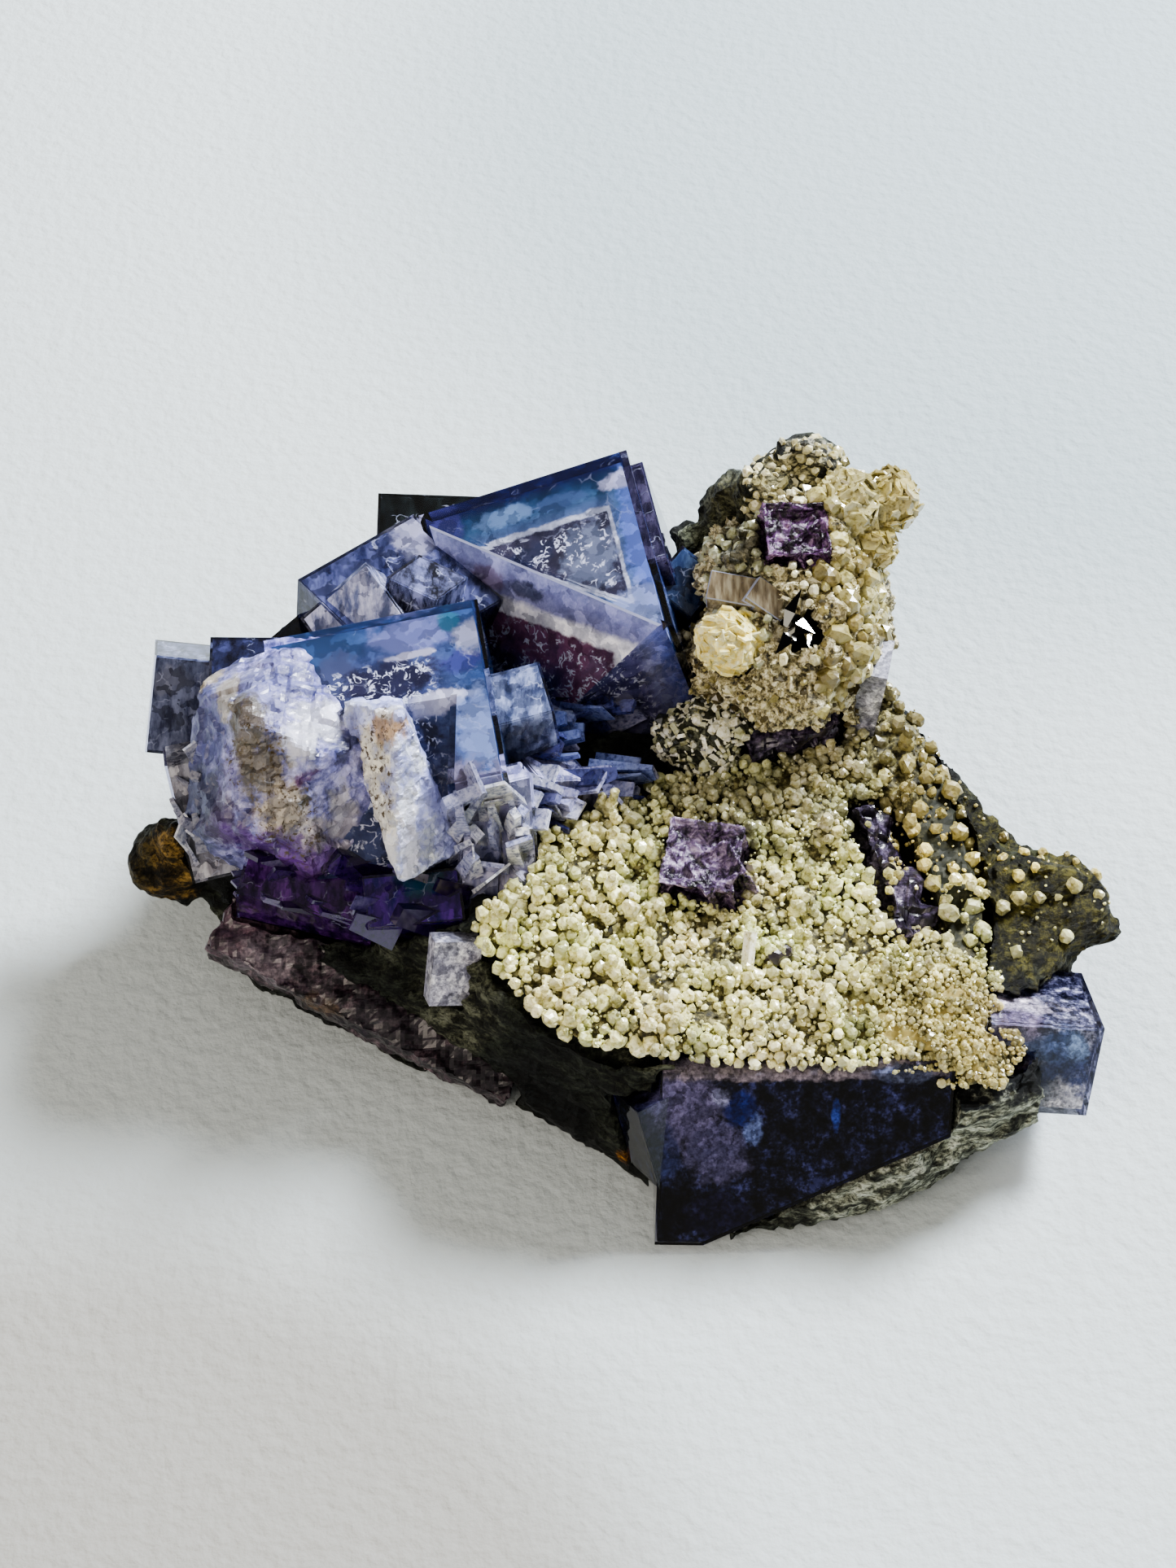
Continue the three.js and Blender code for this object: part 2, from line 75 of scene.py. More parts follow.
def placing(centre, turn=(0, 0, 0)):
    """Where something sits: its middle in mm and its turn in degrees."""
    spin_x, spin_y, spin_z = (Matrix.Rotation(math.radians(a), 4, axis) for a, axis in zip(turn, "XYZ"))
    return Matrix.Translation(Vector(centre) * MM) @ spin_x @ spin_y @ spin_z


def scaling(sizes):
    """A stretch to three sizes in mm."""
    return Matrix.Diagonal([size * MM for size in sizes] + [1])


def any_direction():
    """A random direction. Its length is random too."""
    return Vector([random.uniform(-1, 1) for _ in range(3)])


def pointing(direction):
    """A turn that brings Z into a direction."""
    return direction.to_track_quat("Z", "Y").to_matrix().to_4x4()


def in_crystal(crystal, offset):
    """A place in mm that is given in a crystal's own directions."""
    centre, _, turn = crystal
    return tuple((placing(centre, turn) @ (Vector(offset) * MM)) / MM)


def linear(hex_colour, shade=1):
    """An sRGB hex colour as the linear colour that shaders use, darkened by a factor."""
    parts = [int(hex_colour[i:i + 2], 16) / 255 for i in (1, 3, 5)]
    return [shade * (c / 12.92 if c <= 0.04045 else ((c + 0.055) / 1.055) ** 2.4) for c in parts] + [1]


print("one unit is", 1 / MM, "mm")

# %% [markdown]
# A look is a material with its graph of nodes. One method adds any node, sets its inputs and links other
# nodes into it, so that each material below reads as a list of its layers.
#
# Natural colour comes in clouds: a teal spot, a violet foot, a sprinkle of rust. A cloud is a soft ball:
# coordinates of its own, noise that frays its edge, and the distance from its middle, which mixes its
# colour in. It follows the real place, so it stays put in every view and needs no image.
#
# Fluorite splits along flat planes, so its inside is a jumble of angular cells, each a little lighter or
# darker than the next, with a thin pale crack here and there. Voronoi cells with straight-sided distances
# are such a jumble, and the lines between a second, coarser set of them are the cracks.

# %% The looks of surfaces
# The settings of a Mix node that lays one colour over another, and of one that multiplies them.
BLENDED = {"data_type": "RGBA"}
MULTIPLIED = {"data_type": "RGBA", "blend_type": "MULTIPLY"}


class Look:
    """A material, its shader and the coordinates in mm that its layers follow."""

    def __init__(self, name):
        self.material = bpy.data.materials.new(name)
        self.material.use_nodes = True
        self.tree = self.material.node_tree
        self.shader = self.tree.nodes["Principled BSDF"]
        own = self.add("TexCoord").outputs["Object"]
        self.place = self.add("VectorMath", {0: own, 3: 1 / MM}, operation="SCALE")

    def fill(self, node, inputs):
        """Sets a node's inputs: links nodes and sockets, and writes numbers and hex colours."""
        for name, value in inputs.items():
            if isinstance(value, bpy.types.Node):
                value = next(output for output in value.outputs if output.enabled)
            if isinstance(value, bpy.types.NodeSocket):
                self.tree.links.new(value, node.inputs[name])
            else:
                node.inputs[name].default_value = linear(value) if isinstance(value, str) else value

    def add(self, kind, inputs=None, stops=None, **settings):
        """Adds one node with settings, inputs and ramp stops. Noise follows the look's coordinates."""
        node = self.tree.nodes.new("ShaderNode" + kind)
        for name, value in settings.items():
            setattr(node, name, value)
        if kind in ("TexNoise", "Mapping"):
            self.fill(node, {"Vector": self.place})
        self.fill(node, inputs or {})
        if stops:
            elements = node.color_ramp.elements
            for element, (position, colour) in zip(elements, (stops[0], stops[-1])):
                element.position, element.color = position, linear(colour)
            for position, colour in stops[1:-1]:
                elements.new(position).color = linear(colour)
        return node

    def surface(self, **inputs):
        """Sets the shader's inputs. An underscore stands for a space in their names."""
        self.fill(self.shader, {name.replace("_", " "): value for name, value in inputs.items()})

    def mottled(self, stops, **grain):
        """A noise texture, and the colours that its values get."""
        spots = self.add("TexNoise", grain)
        return spots, self.add("ValToRGB", {"Fac": spots}, stops)

    def bumps(self, height, strength, depth):
        """Gives the shader bumps of a depth in mm."""
        relief = {"Strength": strength, "Distance": depth * MM, "Height": height}
        self.surface(Normal=self.add("Bump", relief))

    def in_cloud(self, wander, centre, radii, fray, share=1.0):
        """How much of a soft ball (middle and radii in mm) lies at a place, from 0 to its share."""
        ball = self.add("Mapping", {"Location": centre, "Scale": radii}, vector_type="TEXTURE")
        length = self.add("VectorMath", {0: ball}, operation="LENGTH")
        frayed = self.add("Math", {0: wander, 1: 2 * fray, 2: length}, operation="MULTIPLY_ADD")
        return self.add(
            "MapRange", {"From Min": 1.25 + fray, "From Max": 0.75 + fray, "To Max": share, "Value": frayed},
            interpolation_type="SMOOTHSTEP",
        )

    def clouded(self, ground, clouds, fray=0.9):
        """Lays soft clouds (middle, radii, colour, share) over a ground colour."""
        wander = self.add("TexNoise", {"Scale": 0.9, "Detail": 5, "Roughness": 0.6})
        for centre, radii, colour, share in clouds:
            mask = self.in_cloud(wander, centre, radii, fray, share)
            ground = self.add("Mix", {0: mask, 6: ground, 7: colour}, **BLENDED)
        return ground

    def fractured(self, painted, size, depth=0.8, cracks=0.35):
        """Lays angular cells of a size in mm and thin pale cracks over a colour."""
        jagged = self.add("TexNoise", {"Scale": 1.4, "Detail": 3}).outputs["Color"]
        moved = self.add(
            "VectorMath", {0: jagged, 1: (0.9, 0.9, 0.9), 2: self.place}, operation="MULTIPLY_ADD",
        )
        turned = self.add("Mapping", {"Rotation": (0.5, 0.3, 0.7), "Vector": moved})
        cells = self.add("TexVoronoi", {"Scale": 1 / size, "Vector": turned}, distance="CHEBYCHEV")
        tones = [(0.2, "#5d6070"), (0.5, "#b0b3bf"), (0.8, "#ffffff")]
        tone = self.add("ValToRGB", {"Fac": cells.outputs["Color"]}, tones)
        toned = self.add("Mix", {0: depth, 6: painted, 7: tone}, **MULTIPLIED)
        seams = self.add("TexVoronoi", {"Scale": 0.5 / size, "Vector": turned}, feature="DISTANCE_TO_EDGE")
        thin = self.add("MapRange", {"From Min": 0.03, "From Max": 0.008, "Value": seams})
        some = self.add("TexNoise", {"Scale": 0.5, "Detail": 3})
        kept = self.add("MapRange", {"From Min": 0.54, "From Max": 0.62, "To Max": cracks, "Value": some})
        crack = self.add("Math", {0: thin, 1: kept}, operation="MULTIPLY")
        return self.add("Mix", {0: crack, 6: toned, 7: "#b9bfd6"}, **BLENDED)


print("looks ready")

# %% [markdown]
# Every piece ends the same way: its mesh goes into an object at the origin, it rides on the only body,
# and the solid that it replaces, if there is one, is hidden.
# Some steps on the way are modifiers in Blender, such as an even skin of small faces. They are run on a
# short-lived object, and the result comes back as a bmesh.

# %% From a mesh to a piece
def as_object(bm, name):
    """Turns a bmesh into an object in the scene."""
    mesh = bpy.data.meshes.new(name)
    bm.to_mesh(mesh)
    bm.free()
    made = bpy.data.objects.new(name, mesh)
    bpy.context.scene.collection.objects.link(made)
    return made


def finish_piece(bm, name, looks, slot, *stands_for):
    """Turns a bmesh into a named piece that rides on the rock."""
    for face in bm.faces:
        face.smooth = False
    piece = as_object(bm, name)
    for look in looks:
        piece.data.materials.append(look.material)
    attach(piece, "root")
    if stands_for:
        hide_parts(*stands_for)
    print(f"{name}: {len(piece.data.polygons)} faces")
    return piece


def solid_mesh(node):
    """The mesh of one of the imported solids."""
    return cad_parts[node].data


def merged_copy(node):
    """A solid's mesh as a bmesh of its own, with the loose triangles merged."""
    bm = bmesh.new()
    bm.from_mesh(solid_mesh(node))
    bmesh.ops.remove_doubles(bm, verts=bm.verts, dist=0.002 * MM)
    return bm


def drawn_in(node, inset):
    """A solid's copy whose faces lie an inset in mm further in."""
    bm = merged_copy(node)
    bmesh.ops.dissolve_limit(bm, angle_limit=math.radians(1), verts=bm.verts, edges=bm.edges)
    bm.normal_update()
    for vertex in bm.verts:
        vertex.co -= vertex.normal * inset * vertex.calc_shell_factor() * MM
    return bm


def through_modifier(bm, kind, **settings):
    """The same mesh after one modifier."""
    holder = as_object(bm, "blank")
    modifier = holder.modifiers.new("step", kind)
    for name, value in settings.items():
        setattr(modifier, name, value)
    changed = bmesh.new()
    changed.from_object(holder, bpy.context.evaluated_depsgraph_get())
    bpy.data.objects.remove(holder)
    return changed


def remeshed(bm, voxel):
    """The same solid with an even skin of small faces, with a size in mm."""
    return through_modifier(bm, "REMESH", mode="VOXEL", voxel_size=voxel * MM)


def combined(bm, other, operation):
    """One solid with another joined to it or taken away."""
    tool = as_object(other, "tool")
    changed = through_modifier(
        bm, "BOOLEAN", operation=operation, solver="EXACT", use_self=True, object=tool,
    )
    bpy.data.objects.remove(tool)
    return changed


def roughen(bm, depth, floor_level=-1.0):
    """Moves every point along its normal by a depth in mm that a function of its place gives."""
    bm.normal_update()
    for vertex in bm.verts:
        spot = vertex.co / MM
        if spot.z > floor_level:
            vertex.co += vertex.normal * depth(spot) * MM


def box_of(bm, crystal, inset=0.0):
    """A crystal's block, smaller by an inset on each side."""
    centre, size, turn = crystal
    place = placing(centre, turn) @ scaling([side - 2 * inset for side in size])
    return bmesh.ops.create_cube(bm, size=1, matrix=place)["verts"]


def cut_flat(bm, point, normal):
    """Cuts off what lies outside a plane, given by a point in mm and its outward normal."""
    everything = bm.verts[:] + bm.edges[:] + bm.faces[:]
    bmesh.ops.bisect_plane(
        bm, geom=everything, plane_co=Vector(point) * MM, plane_no=Vector(normal), clear_outer=True,
    )
    bmesh.ops.holes_fill(bm, edges=[edge for edge in bm.edges if edge.is_boundary])
    bmesh.ops.recalc_face_normals(bm, faces=bm.faces[:])
    bm.normal_update()


print("piece helpers ready")

# %% [markdown]
# ## The camera, the floor and the light
#
# The photograph looks down at about 50 degrees through a lens a little longer than normal, and the camera
# repeats that. The floor is a pale board with painted shade: darker at the back right, and a soft painted
# shadow at the front left. The light is soft: a large window-like lamp from the back right, a weaker one
# from the left, and a pale sky all round that glass can mirror.

# %% Camera
VIEW_TARGET = Vector((-3, 2.9, 15)) * MM
VIEW_ELEVATION = math.radians(50)
VIEW_DISTANCE = 225.93 * MM
toward = Vector((0, -math.cos(VIEW_ELEVATION), math.sin(VIEW_ELEVATION)))
camera_data = bpy.data.cameras.new("camera")
camera_data.lens = 65
camera_data.sensor_width = 36
camera_data.clip_start = 1 * MM
camera = bpy.data.objects.new("camera", camera_data)
camera.location = VIEW_TARGET + VIEW_DISTANCE * toward
camera.rotation_euler = (math.radians(90) - VIEW_ELEVATION, 0, 0)
bpy.context.scene.collection.objects.link(camera)
bpy.context.scene.camera = camera
print("camera at", [round(c, 3) for c in camera.location])

# %% Floor
FLOOR_HALF = 400
# Two soft clouds of painted shade on the board: darker at the back right, and a painted shadow at the front
# left.
FLOOR_PAINTED_SHADE = [((70, 110, 0), (95, 80, 60), "#a2b0b6", 0.85), ((-44, -66, 0), (48, 38, 40), "#918d86", 0.8)]
bm = bmesh.new()
bmesh.ops.create_grid(bm, x_segments=1, y_segments=1, size=FLOOR_HALF * MM, matrix=placing((0, 0, -0.05)))
floor = as_object(bm, "floor")
paper = Look("pale matt board")
board = paper.add("RGB")
board.outputs[0].default_value = linear("#c4ccce")
# The board has a fine tooth, about a millimetre from bump to bump.
tooth = paper.add("TexNoise", {"Scale": 0.8, "Detail": 4})
paper.bumps(tooth, strength=0.8, depth=0.35)
paper.surface(Base_Color=paper.clouded(board, FLOOR_PAINTED_SHADE, fray=0), Roughness=0.9)
floor.data.materials.append(paper.material)
print("floor laid")

# %% Light
def area_lamp(name, position, size, power, colour):
    """A soft lamp at a place in mm, turned towards the specimen."""
    data = bpy.data.lights.new(name, "AREA")
    data.shape = "DISK"
    data.size = size * MM
    data.energy = power
    data.color = linear(colour)[:3]
    lamp = bpy.data.objects.new(name, data)
    lamp.location = Vector(position) * MM
    way = Vector((0, 0, 10)) * MM - lamp.location
    lamp.rotation_euler = way.to_track_quat("-Z", "Y").to_euler()
    bpy.context.scene.collection.objects.link(lamp)


area_lamp("window", (380, 390, 520), size=230, power=16, colour="#f6faff")
area_lamp("reflector", (-220, -260, 230), size=280, power=0.9, colour="#fff2e2")
world = bpy.data.worlds.new("room")
world.use_nodes = True
sky = world.node_tree.nodes["Background"]
sky.inputs["Color"].default_value = linear("#eeeae2")
sky.inputs["Strength"].default_value = 0.5
bpy.context.scene.world = world
bpy.context.scene.view_settings.view_transform = "AgX"
bpy.context.scene.view_settings.look = "AgX - Medium High Contrast"
print("lamps set")

# %% [markdown]
# ## The rock
#
# The matrix is a dark green to black rock, broken all round, with paler flakes where it split along its
# layers. A displacement modifier could roughen the smooth solid, but the flakes lie in layers, so the
# points of an even skin are moved in code, mostly inwards, with a noise stretched along the layers.

# %% Rock material: broken green schist
# Fresh breaks are nearly black and a little glossy. Split layers, about 3 mm apart, are dull grey green.
ROCK_CLOUDS = [
    ((7, 4.6, 18.5), (4.4, 4.4, 3.6), "#8d8f7c", 0.85),
    ((20, -27, 3.5), (15, 4, 3.2), "#e0e5d6", 0.95),
    ((28, -23.4, 6), (7, 3, 3), "#f0f5e2", 0.9),
    ((10, -29, 2), (4, 3, 3), "#4a5148", 0.7),
    ((-37.6, -1, 9.5), (3.2, 3, 3), "#ab8a4c", 0.95),
    ((-39.5, 0, 8), (1.8, 3, 3), "#4a4528", 0.8),
    ((-29, -7.6, 11), (6, 3, 2), "#4c3630", 0.8),
    ((30, -6, 12.6), (6, 6, 2.4), "#5c5226", 0.9),
    ((35, -10, 11.6), (4, 3, 2.4), "#6a6138", 0.8),
    ((31, -5, 12.5), (8, 9, 5), "#65602c", 0.9),
    ((7.2, 20.6, 30), (3.6, 3, 4.4), "#7a7a5c", 0.95),
    ((31, -1.5, 14), (3, 3, 2), "#39402c", 0.8),
    ((14.8, 20.6, 34.4), (2.6, 2.4, 2), "#e2dfd4", 0.95),
    ((13.6, 19, 32.4), (3.4, 3, 2.2), "#d9d0a4", 0.9),
    ((5.4, 21, 25), (1.7, 1.6, 1.8), "#c4cbb0", 0.85),
    ((16, 20, 32.2), (1.2, 1, 1.2), "#2a2c30", 0.9),
    ((-0.6, -24.4, 2.4), (0.8, 0.8, 1), "#c0822e", 0.9),
]
schist = Look("broken green schist")
layers = schist.add("Mapping", {"Scale": (1, 1, 3), "Rotation": (0.12, -0.1, 0.3)})
_, regions = schist.mottled([(0.4, "#1a1e21"), (0.53, "#3a4036"), (0.66, "#7a7d6c")], Scale=0.11, Detail=4)
_, flakes = schist.mottled(
    [(0.38, "#1c1c1a"), (0.47, "#74756e"), (0.53, "#d3d4ca"), (0.6, "#ffffff")],
    Vector=layers, Scale=0.45, Detail=9, Roughness=0.75,
)
grit, shade = schist.mottled(
    [(0.4, "#4c4c4c"), (0.49, "#d0d0d0"), (0.58, "#ffffff")],
    Vector=layers, Scale=2.2, Detail=5, Roughness=0.75,
)
worn = schist.add("Mix", {0: 1, 6: schist.clouded(regions, ROCK_CLOUDS), 7: flakes}, **MULTIPLIED)
gritty = schist.add("Mix", {0: 0.95, 6: worn, 7: shade}, **MULTIPLIED)
schist.bumps(grit, strength=0.8, depth=0.3)
schist.surface(Base_Color=gritty, Roughness=0.5, Specular_IOR_Level=0.25)
print("rock material ready")

# %% Rock skin
ROCK_VOXEL = 0.42
LAYER_NORMAL = Vector((0.08, -0.12, 1)).normalized()
REST_LEVEL = 0.15


def flaky(spot):
    """How far the rock is worn in at a point: coarse flakes in layers and fine chips."""
    across = spot.dot(LAYER_NORMAL)
    along = spot - across * LAYER_NORMAL
    flake = noise.noise(along / 5 + LAYER_NORMAL * across / 1.1)
    chips = noise.noise(spot / 1.3)
    fine = noise.noise(spot / 0.8)
    return min(0.2, 0.8 * flake + 0.4 * chips - 0.5 * abs(fine) - 0.15)


bm = remeshed(merged_copy("matrix_rock"), ROCK_VOXEL)
roughen(bm, flaky, REST_LEVEL)
for vertex in bm.verts:
    vertex.co.z = max(vertex.co.z, 0)
    vertex.co.x = max(vertex.co.x, cad_box[0][0])
rock = finish_piece(bm, "broken_rock", [schist], "rock", "matrix_rock")

# %% [markdown]
# ## The blue cubes
#
# Fluorite is clear and grew in layers of different colours. The phantom is an earlier, smaller cube seen
# inside the later one. It is built the same way here: a clear skin with the outlines of the solids, which
# absorbs more light the further the light goes, and smaller cubes inside it that carry the colour zones.

# %% Where the crystals are
HIGH_CUBE = ((-4.6, 16.2, 19.2), (17.7, 17.7, 17), (9.4, -13.8, 11.5))
LOW_CUBE = ((-17.8, 2.1, 18.6), (17, 16.8, 15.5), (6, -6.6, 9))
MISSING_CORNER = ((-22, -7, 24.2), (17, 10, 24), (-40, 0, 0))
SIDE_LAYER = (in_crystal(HIGH_CUBE, (5.8, 3, -0.7)), (8, 10, 16.4), HIGH_CUBE[2])
TONGUE = ((-17.2, -2.8, 20.8), (6.4, 6.4, 14), (-38, 0, 43))
TONGUE_FLANKS = [
    ((-21.4, 0.7, 23.7), (-0.94, -0.26, -0.21)), ((-16.9, 2.2, 25), (0.94, 0.26, 0.22)),
    ((-17.1, -8, 16.4), (0.48, -0.67, -0.56)),
]
CLEAVAGE_NORMAL = Vector((-0.56, -0.7, 0.44)).normalized()
CLEAVAGE_CORNER = Vector(in_crystal(HIGH_CUBE, (-8.85, 8.85, 8.5)))
FLUORITE_IOR = 1.434
# Each of the smaller crystals has a pale and a deep colour, which run through it in streaks.
SMALL_CRYSTALS = [
    (*SIDE_LAYER, "#55506a", "#1e1a34"),
    (in_crystal(HIGH_CUBE, (9.6, -0.9, 0.8)), (4.4, 4.4, 6), (24, 8, 52), "#546889", "#273658"),
    ((-18.6, 15.4, 18.2), (12, 11.4, 13), (2, 6, 42), "#4c5072", "#1e2240"),
    ((-20.4, 13.2, 22.2), (7, 6, 7), (30, -20, 36), "#bbbbcc", "#5f6583"),
    ((-16.6, 13.4, 22.6), (5, 4.6, 8.6), (-16, 12, 62), "#74789a", "#10121e"),
    ((-14.6, 23.8, 16.6), (12.4, 9, 11.4), (3, 4, 1), "#161c1e", "#040708"),
    ((-26.2, 11.6, 17), (6.4, 5, 9), (0, 0, 51), "#121a31", "#06091c"),
    ((-34.4, 8.4, 18.9), (7.2, 5, 8), (-34, 8, 8), "#70768e", "#343850"),
    ((-29.6, 7.8, 18.8), (7, 6, 9.4), (-6, 4, 4), "#34385a", "#101226"),
    ((-33.6, 0.6, 14.8), (4, 6, 10), (-30, -10, 10), "#c8c8cc", "#84828a"),
    ((-8.4, 4.4, 20.4), (5.4, 5, 8), (5, -6, 14), "#8f99b8", "#3f4866"),
    ((-6, 0.4, 16.6), (4.6, 3.6, 5), (-22, 14, 28), "#c4c1d6", "#72729a"),
    ((-2.8, 1, 15.6), (7.6, 2.6, 3), (-18, -12, 32), "#b3b0c8", "#5c5a7c"),
    ((-11.4, -4.6, 17.8), (3.2, 3, 12.4), (-20, 3, 10), "#d8d8ec", "#8f92ba"),
    ((-8.8, -4.4, 16.8), (3, 2.6, 12), (-22, -3, 22), "#d2d1e8", "#8c8bb2"),
    ((-8.2, -6.6, 14), (5, 2.4, 2.6), (-14, 34, -30), "#dcd8e2", "#8f8aa8"),
    ((-16.8, -8, 13.4), (7.6, 4.2, 4.4), (24, 10, 8), "#583090", "#201860"),
    ((-24.6, -6, 12.4), (11, 5, 6), (20, 6, -12), "#663a86", "#241040"),
]
print("high cube edge", HIGH_CUBE[1][0], "mm")

# %% Clear fluorite
def clear_fluorite(name, tint, density, shine=0.5):
    """Clear crystal: transmission, fluorite's IOR and absorption. Lamps shine through it."""
    look = Look(name)
    look.surface(Base_Color="#ffffff", Roughness=0.02, Specular_IOR_Level=shine)
    look.surface(Transmission_Weight=1, IOR=FLUORITE_IOR)
    # Etch marks on the faces are a few mm across.
    look.bumps(look.add("TexNoise", {"Scale": 0.42, "Detail": 4}), strength=0.12, depth=0.2)
    lamp_ray = look.add("LightPath").outputs["Is Shadow Ray"]
    skin = look.add("MixShader", {0: lamp_ray, 1: look.shader, 2: look.add("BsdfTransparent")})
    depth = look.add("VolumeAbsorption", {"Color": tint, "Density": density})
    look.fill(look.tree.nodes["Material Output"], {"Surface": skin, "Volume": depth})
    return look


def low_cube(inset):
    """The low cube without its front corner, where the pointed crystal stands."""
    bm, corner = bmesh.new(), bmesh.new()
    box_of(bm, LOW_CUBE, inset)
    box_of(corner, MISSING_CORNER, -inset)
    return combined(bm, corner, "DIFFERENCE")


blue_glass = clear_fluorite("clear blue fluorite", "#6a66b4", density=130)
bm = bmesh.new()
box_of(bm, HIGH_CUBE)
cut_flat(bm, CLEAVAGE_CORNER, CLEAVAGE_NORMAL)
for *crystal, _, _ in SMALL_CRYSTALS:
    box_of(bm, crystal)
bm = combined(bm, low_cube(inset=0), "UNION")
finish_piece(bm, "clear_cubes", [blue_glass], "blue_fluorite", "fluorite_cluster")

# %% [markdown]
# A zone's colour depends on how far it lies from the crystal's edges. In the cube's own coordinates, how
# far a point lies out along a direction tells its distance from the edge there. The smallest of these
# distances runs into a ramp, so the zones follow the edges as the phantom does. The ramp's place 0.4 is
# the phantom's own white wall.

# %% Zoned fluorite
WALL = 0.4


def zoned_fluorite(name, cube, edges, stops, clouds, curls):
    """A phantom's face: zones along its edges, clouds in it, and white curls in its core."""
    look = Look(name)
    centre, _, turn = cube
    own = {"Location": centre, "Rotation": placing(centre, turn).to_euler("XYZ")}
    look.place = look.add("Mapping", own, vector_type="TEXTURE")
    wander = look.add("TexNoise", {"Scale": 0.9, "Detail": 5, "Roughness": 0.6})
    nearest = None
    for direction, edge, wall in edges:
        out = look.add("VectorMath", {0: look.place, 1: direction}, operation="DOT_PRODUCT")
        reach = {"From Min": edge, "From Max": wall, "To Max": WALL, "Value": out}
        away = look.add("MapRange", reach, clamp=False)
        nearest = look.add("Math", {0: nearest, 1: away}, operation="MINIMUM") if nearest else away
    wavy = look.add("Math", {0: wander, 1: 0.07, 2: nearest}, operation="MULTIPLY_ADD")
    zones = look.add("ValToRGB", {"Fac": wavy}, stops)
    _, smoke = look.mottled(
        [(0.36, "#6a7085"), (0.5, "#c3c7d2"), (0.62, "#ffffff")], Scale=0.6, Detail=9, Roughness=0.72,
    )
    smoky = look.add("Mix", {0: 0.65, 6: zones, 7: smoke}, **MULTIPLIED)
    painted = look.fractured(look.clouded(smoky, clouds), size=1.3, depth=0.55, cracks=0.12)
    # The curls are broken lines 0.2 mm wide: a level line of one noise, kept where another is high.
    _, line = look.mottled(
        [(0.45, "#000000"), (0.485, "#ffffff"), (0.515, "#ffffff"), (0.55, "#000000")],
        Scale=1, Detail=3, Distortion=1.1,
    )
    broken = look.add("TexNoise", {"Scale": 1.2, "Detail": 4})
    kept = look.add("MapRange", {"From Min": curls, "From Max": curls + 0.06, "Value": broken})
    core = look.add("MapRange", {"From Min": WALL, "From Max": WALL + 0.1, "Value": nearest})
    curl = look.add("Math", {0: line, 1: kept}, operation="MULTIPLY")
    in_core = look.add("Math", {0: curl, 1: core}, operation="MULTIPLY")
    speckled = look.add("Mix", {0: in_core, 6: painted, 7: "#b9bdcc"}, **BLENDED)
    look.surface(Base_Color=speckled, Specular_IOR_Level=0)
    return look


TOP_ZONES = [
    (0, "#101333"), (0.1, "#181e48"), (0.17, "#1f3856"), (0.28, "#365470"), (0.385, "#5e7093"),
    (0.4, "#c4c7cf"), (0.43, "#c2c5cc"), (0.445, "#3e3c4e"), (0.7, "#3e3a46"), (1, "#4a4858"),
]
TOP_CLOUDS = [
    ((4, 0.2, 7), (2.4, 3.4, 2), "#6c7488", 0.75),
    ((-0.6, 1.9, 7), (2.4, 1.1, 2), "#2a2e44", 0.8),
    ((7.9, 1, 7), (1.1, 7, 2), "#5f74b4", 0.8),
    ((8.2, -1.5, 7), (1.6, 6.5, 2), "#5f70ae", 0.75),
    ((7, -6, 7), (2.6, 2.4, 2), "#8691b5", 0.7),
    ((7.6, 6.6, 7), (1.6, 1, 2), "#a9a9bf", 0.8),
    ((2.4, 6.2, 7), (2.6, 0.8, 2), "#394b6c", 0.85),
    ((-2, 6.4, 7), (2.5, 1, 2), "#718aad", 0.6),
    ((-7, 7, 7), (1.6, 1.8, 2), "#353566", 0.8),
]
# The cleaved face's own zones. Their blue and lilac colours are painted lighter to make up for the shade that
# the face lies in.
CLEAVED_ZONES = [
    (0, "#7078ac"), (0.08, "#a0a6d0"), (0.22, "#9496be"), (0.33, "#9698bc"), (0.37, "#ffffff"),
    (0.44, "#ffffff"), (0.46, "#6e485e"), (0.66, "#8a5874"), (0.8, "#5a5e8c"), (1, "#6a76ac"),
]
CLEAVED_CLOUDS = [
    ((-4.6, 2.6, 6.2), (1.6, 1.6, 0.7), "#5e4752", 0.6),
    ((-1.4, 0.2, 6.4), (1.8, 1.8, 0.6), "#2a2f3b", 0.75),
    ((5.5, -9.5, 3.5), (2, 2, 2), "#8099ce", 0.6),
    ((4.3, -10.4, 1.6), (1.6, 1.6, 1.4), "#7498c5", 0.85),
    ((-1.5, -6.5, -1), (1.2, 1.2, 0.8), "#d2e2fd", 0.7),
]
LOW_ZONES = [
    (0, "#111b44"), (0.05, "#2a3f69"), (0.2, "#3f557e"), (0.4, "#4e5d86"), (0.6, "#555e86"), (1, "#495175"),
]
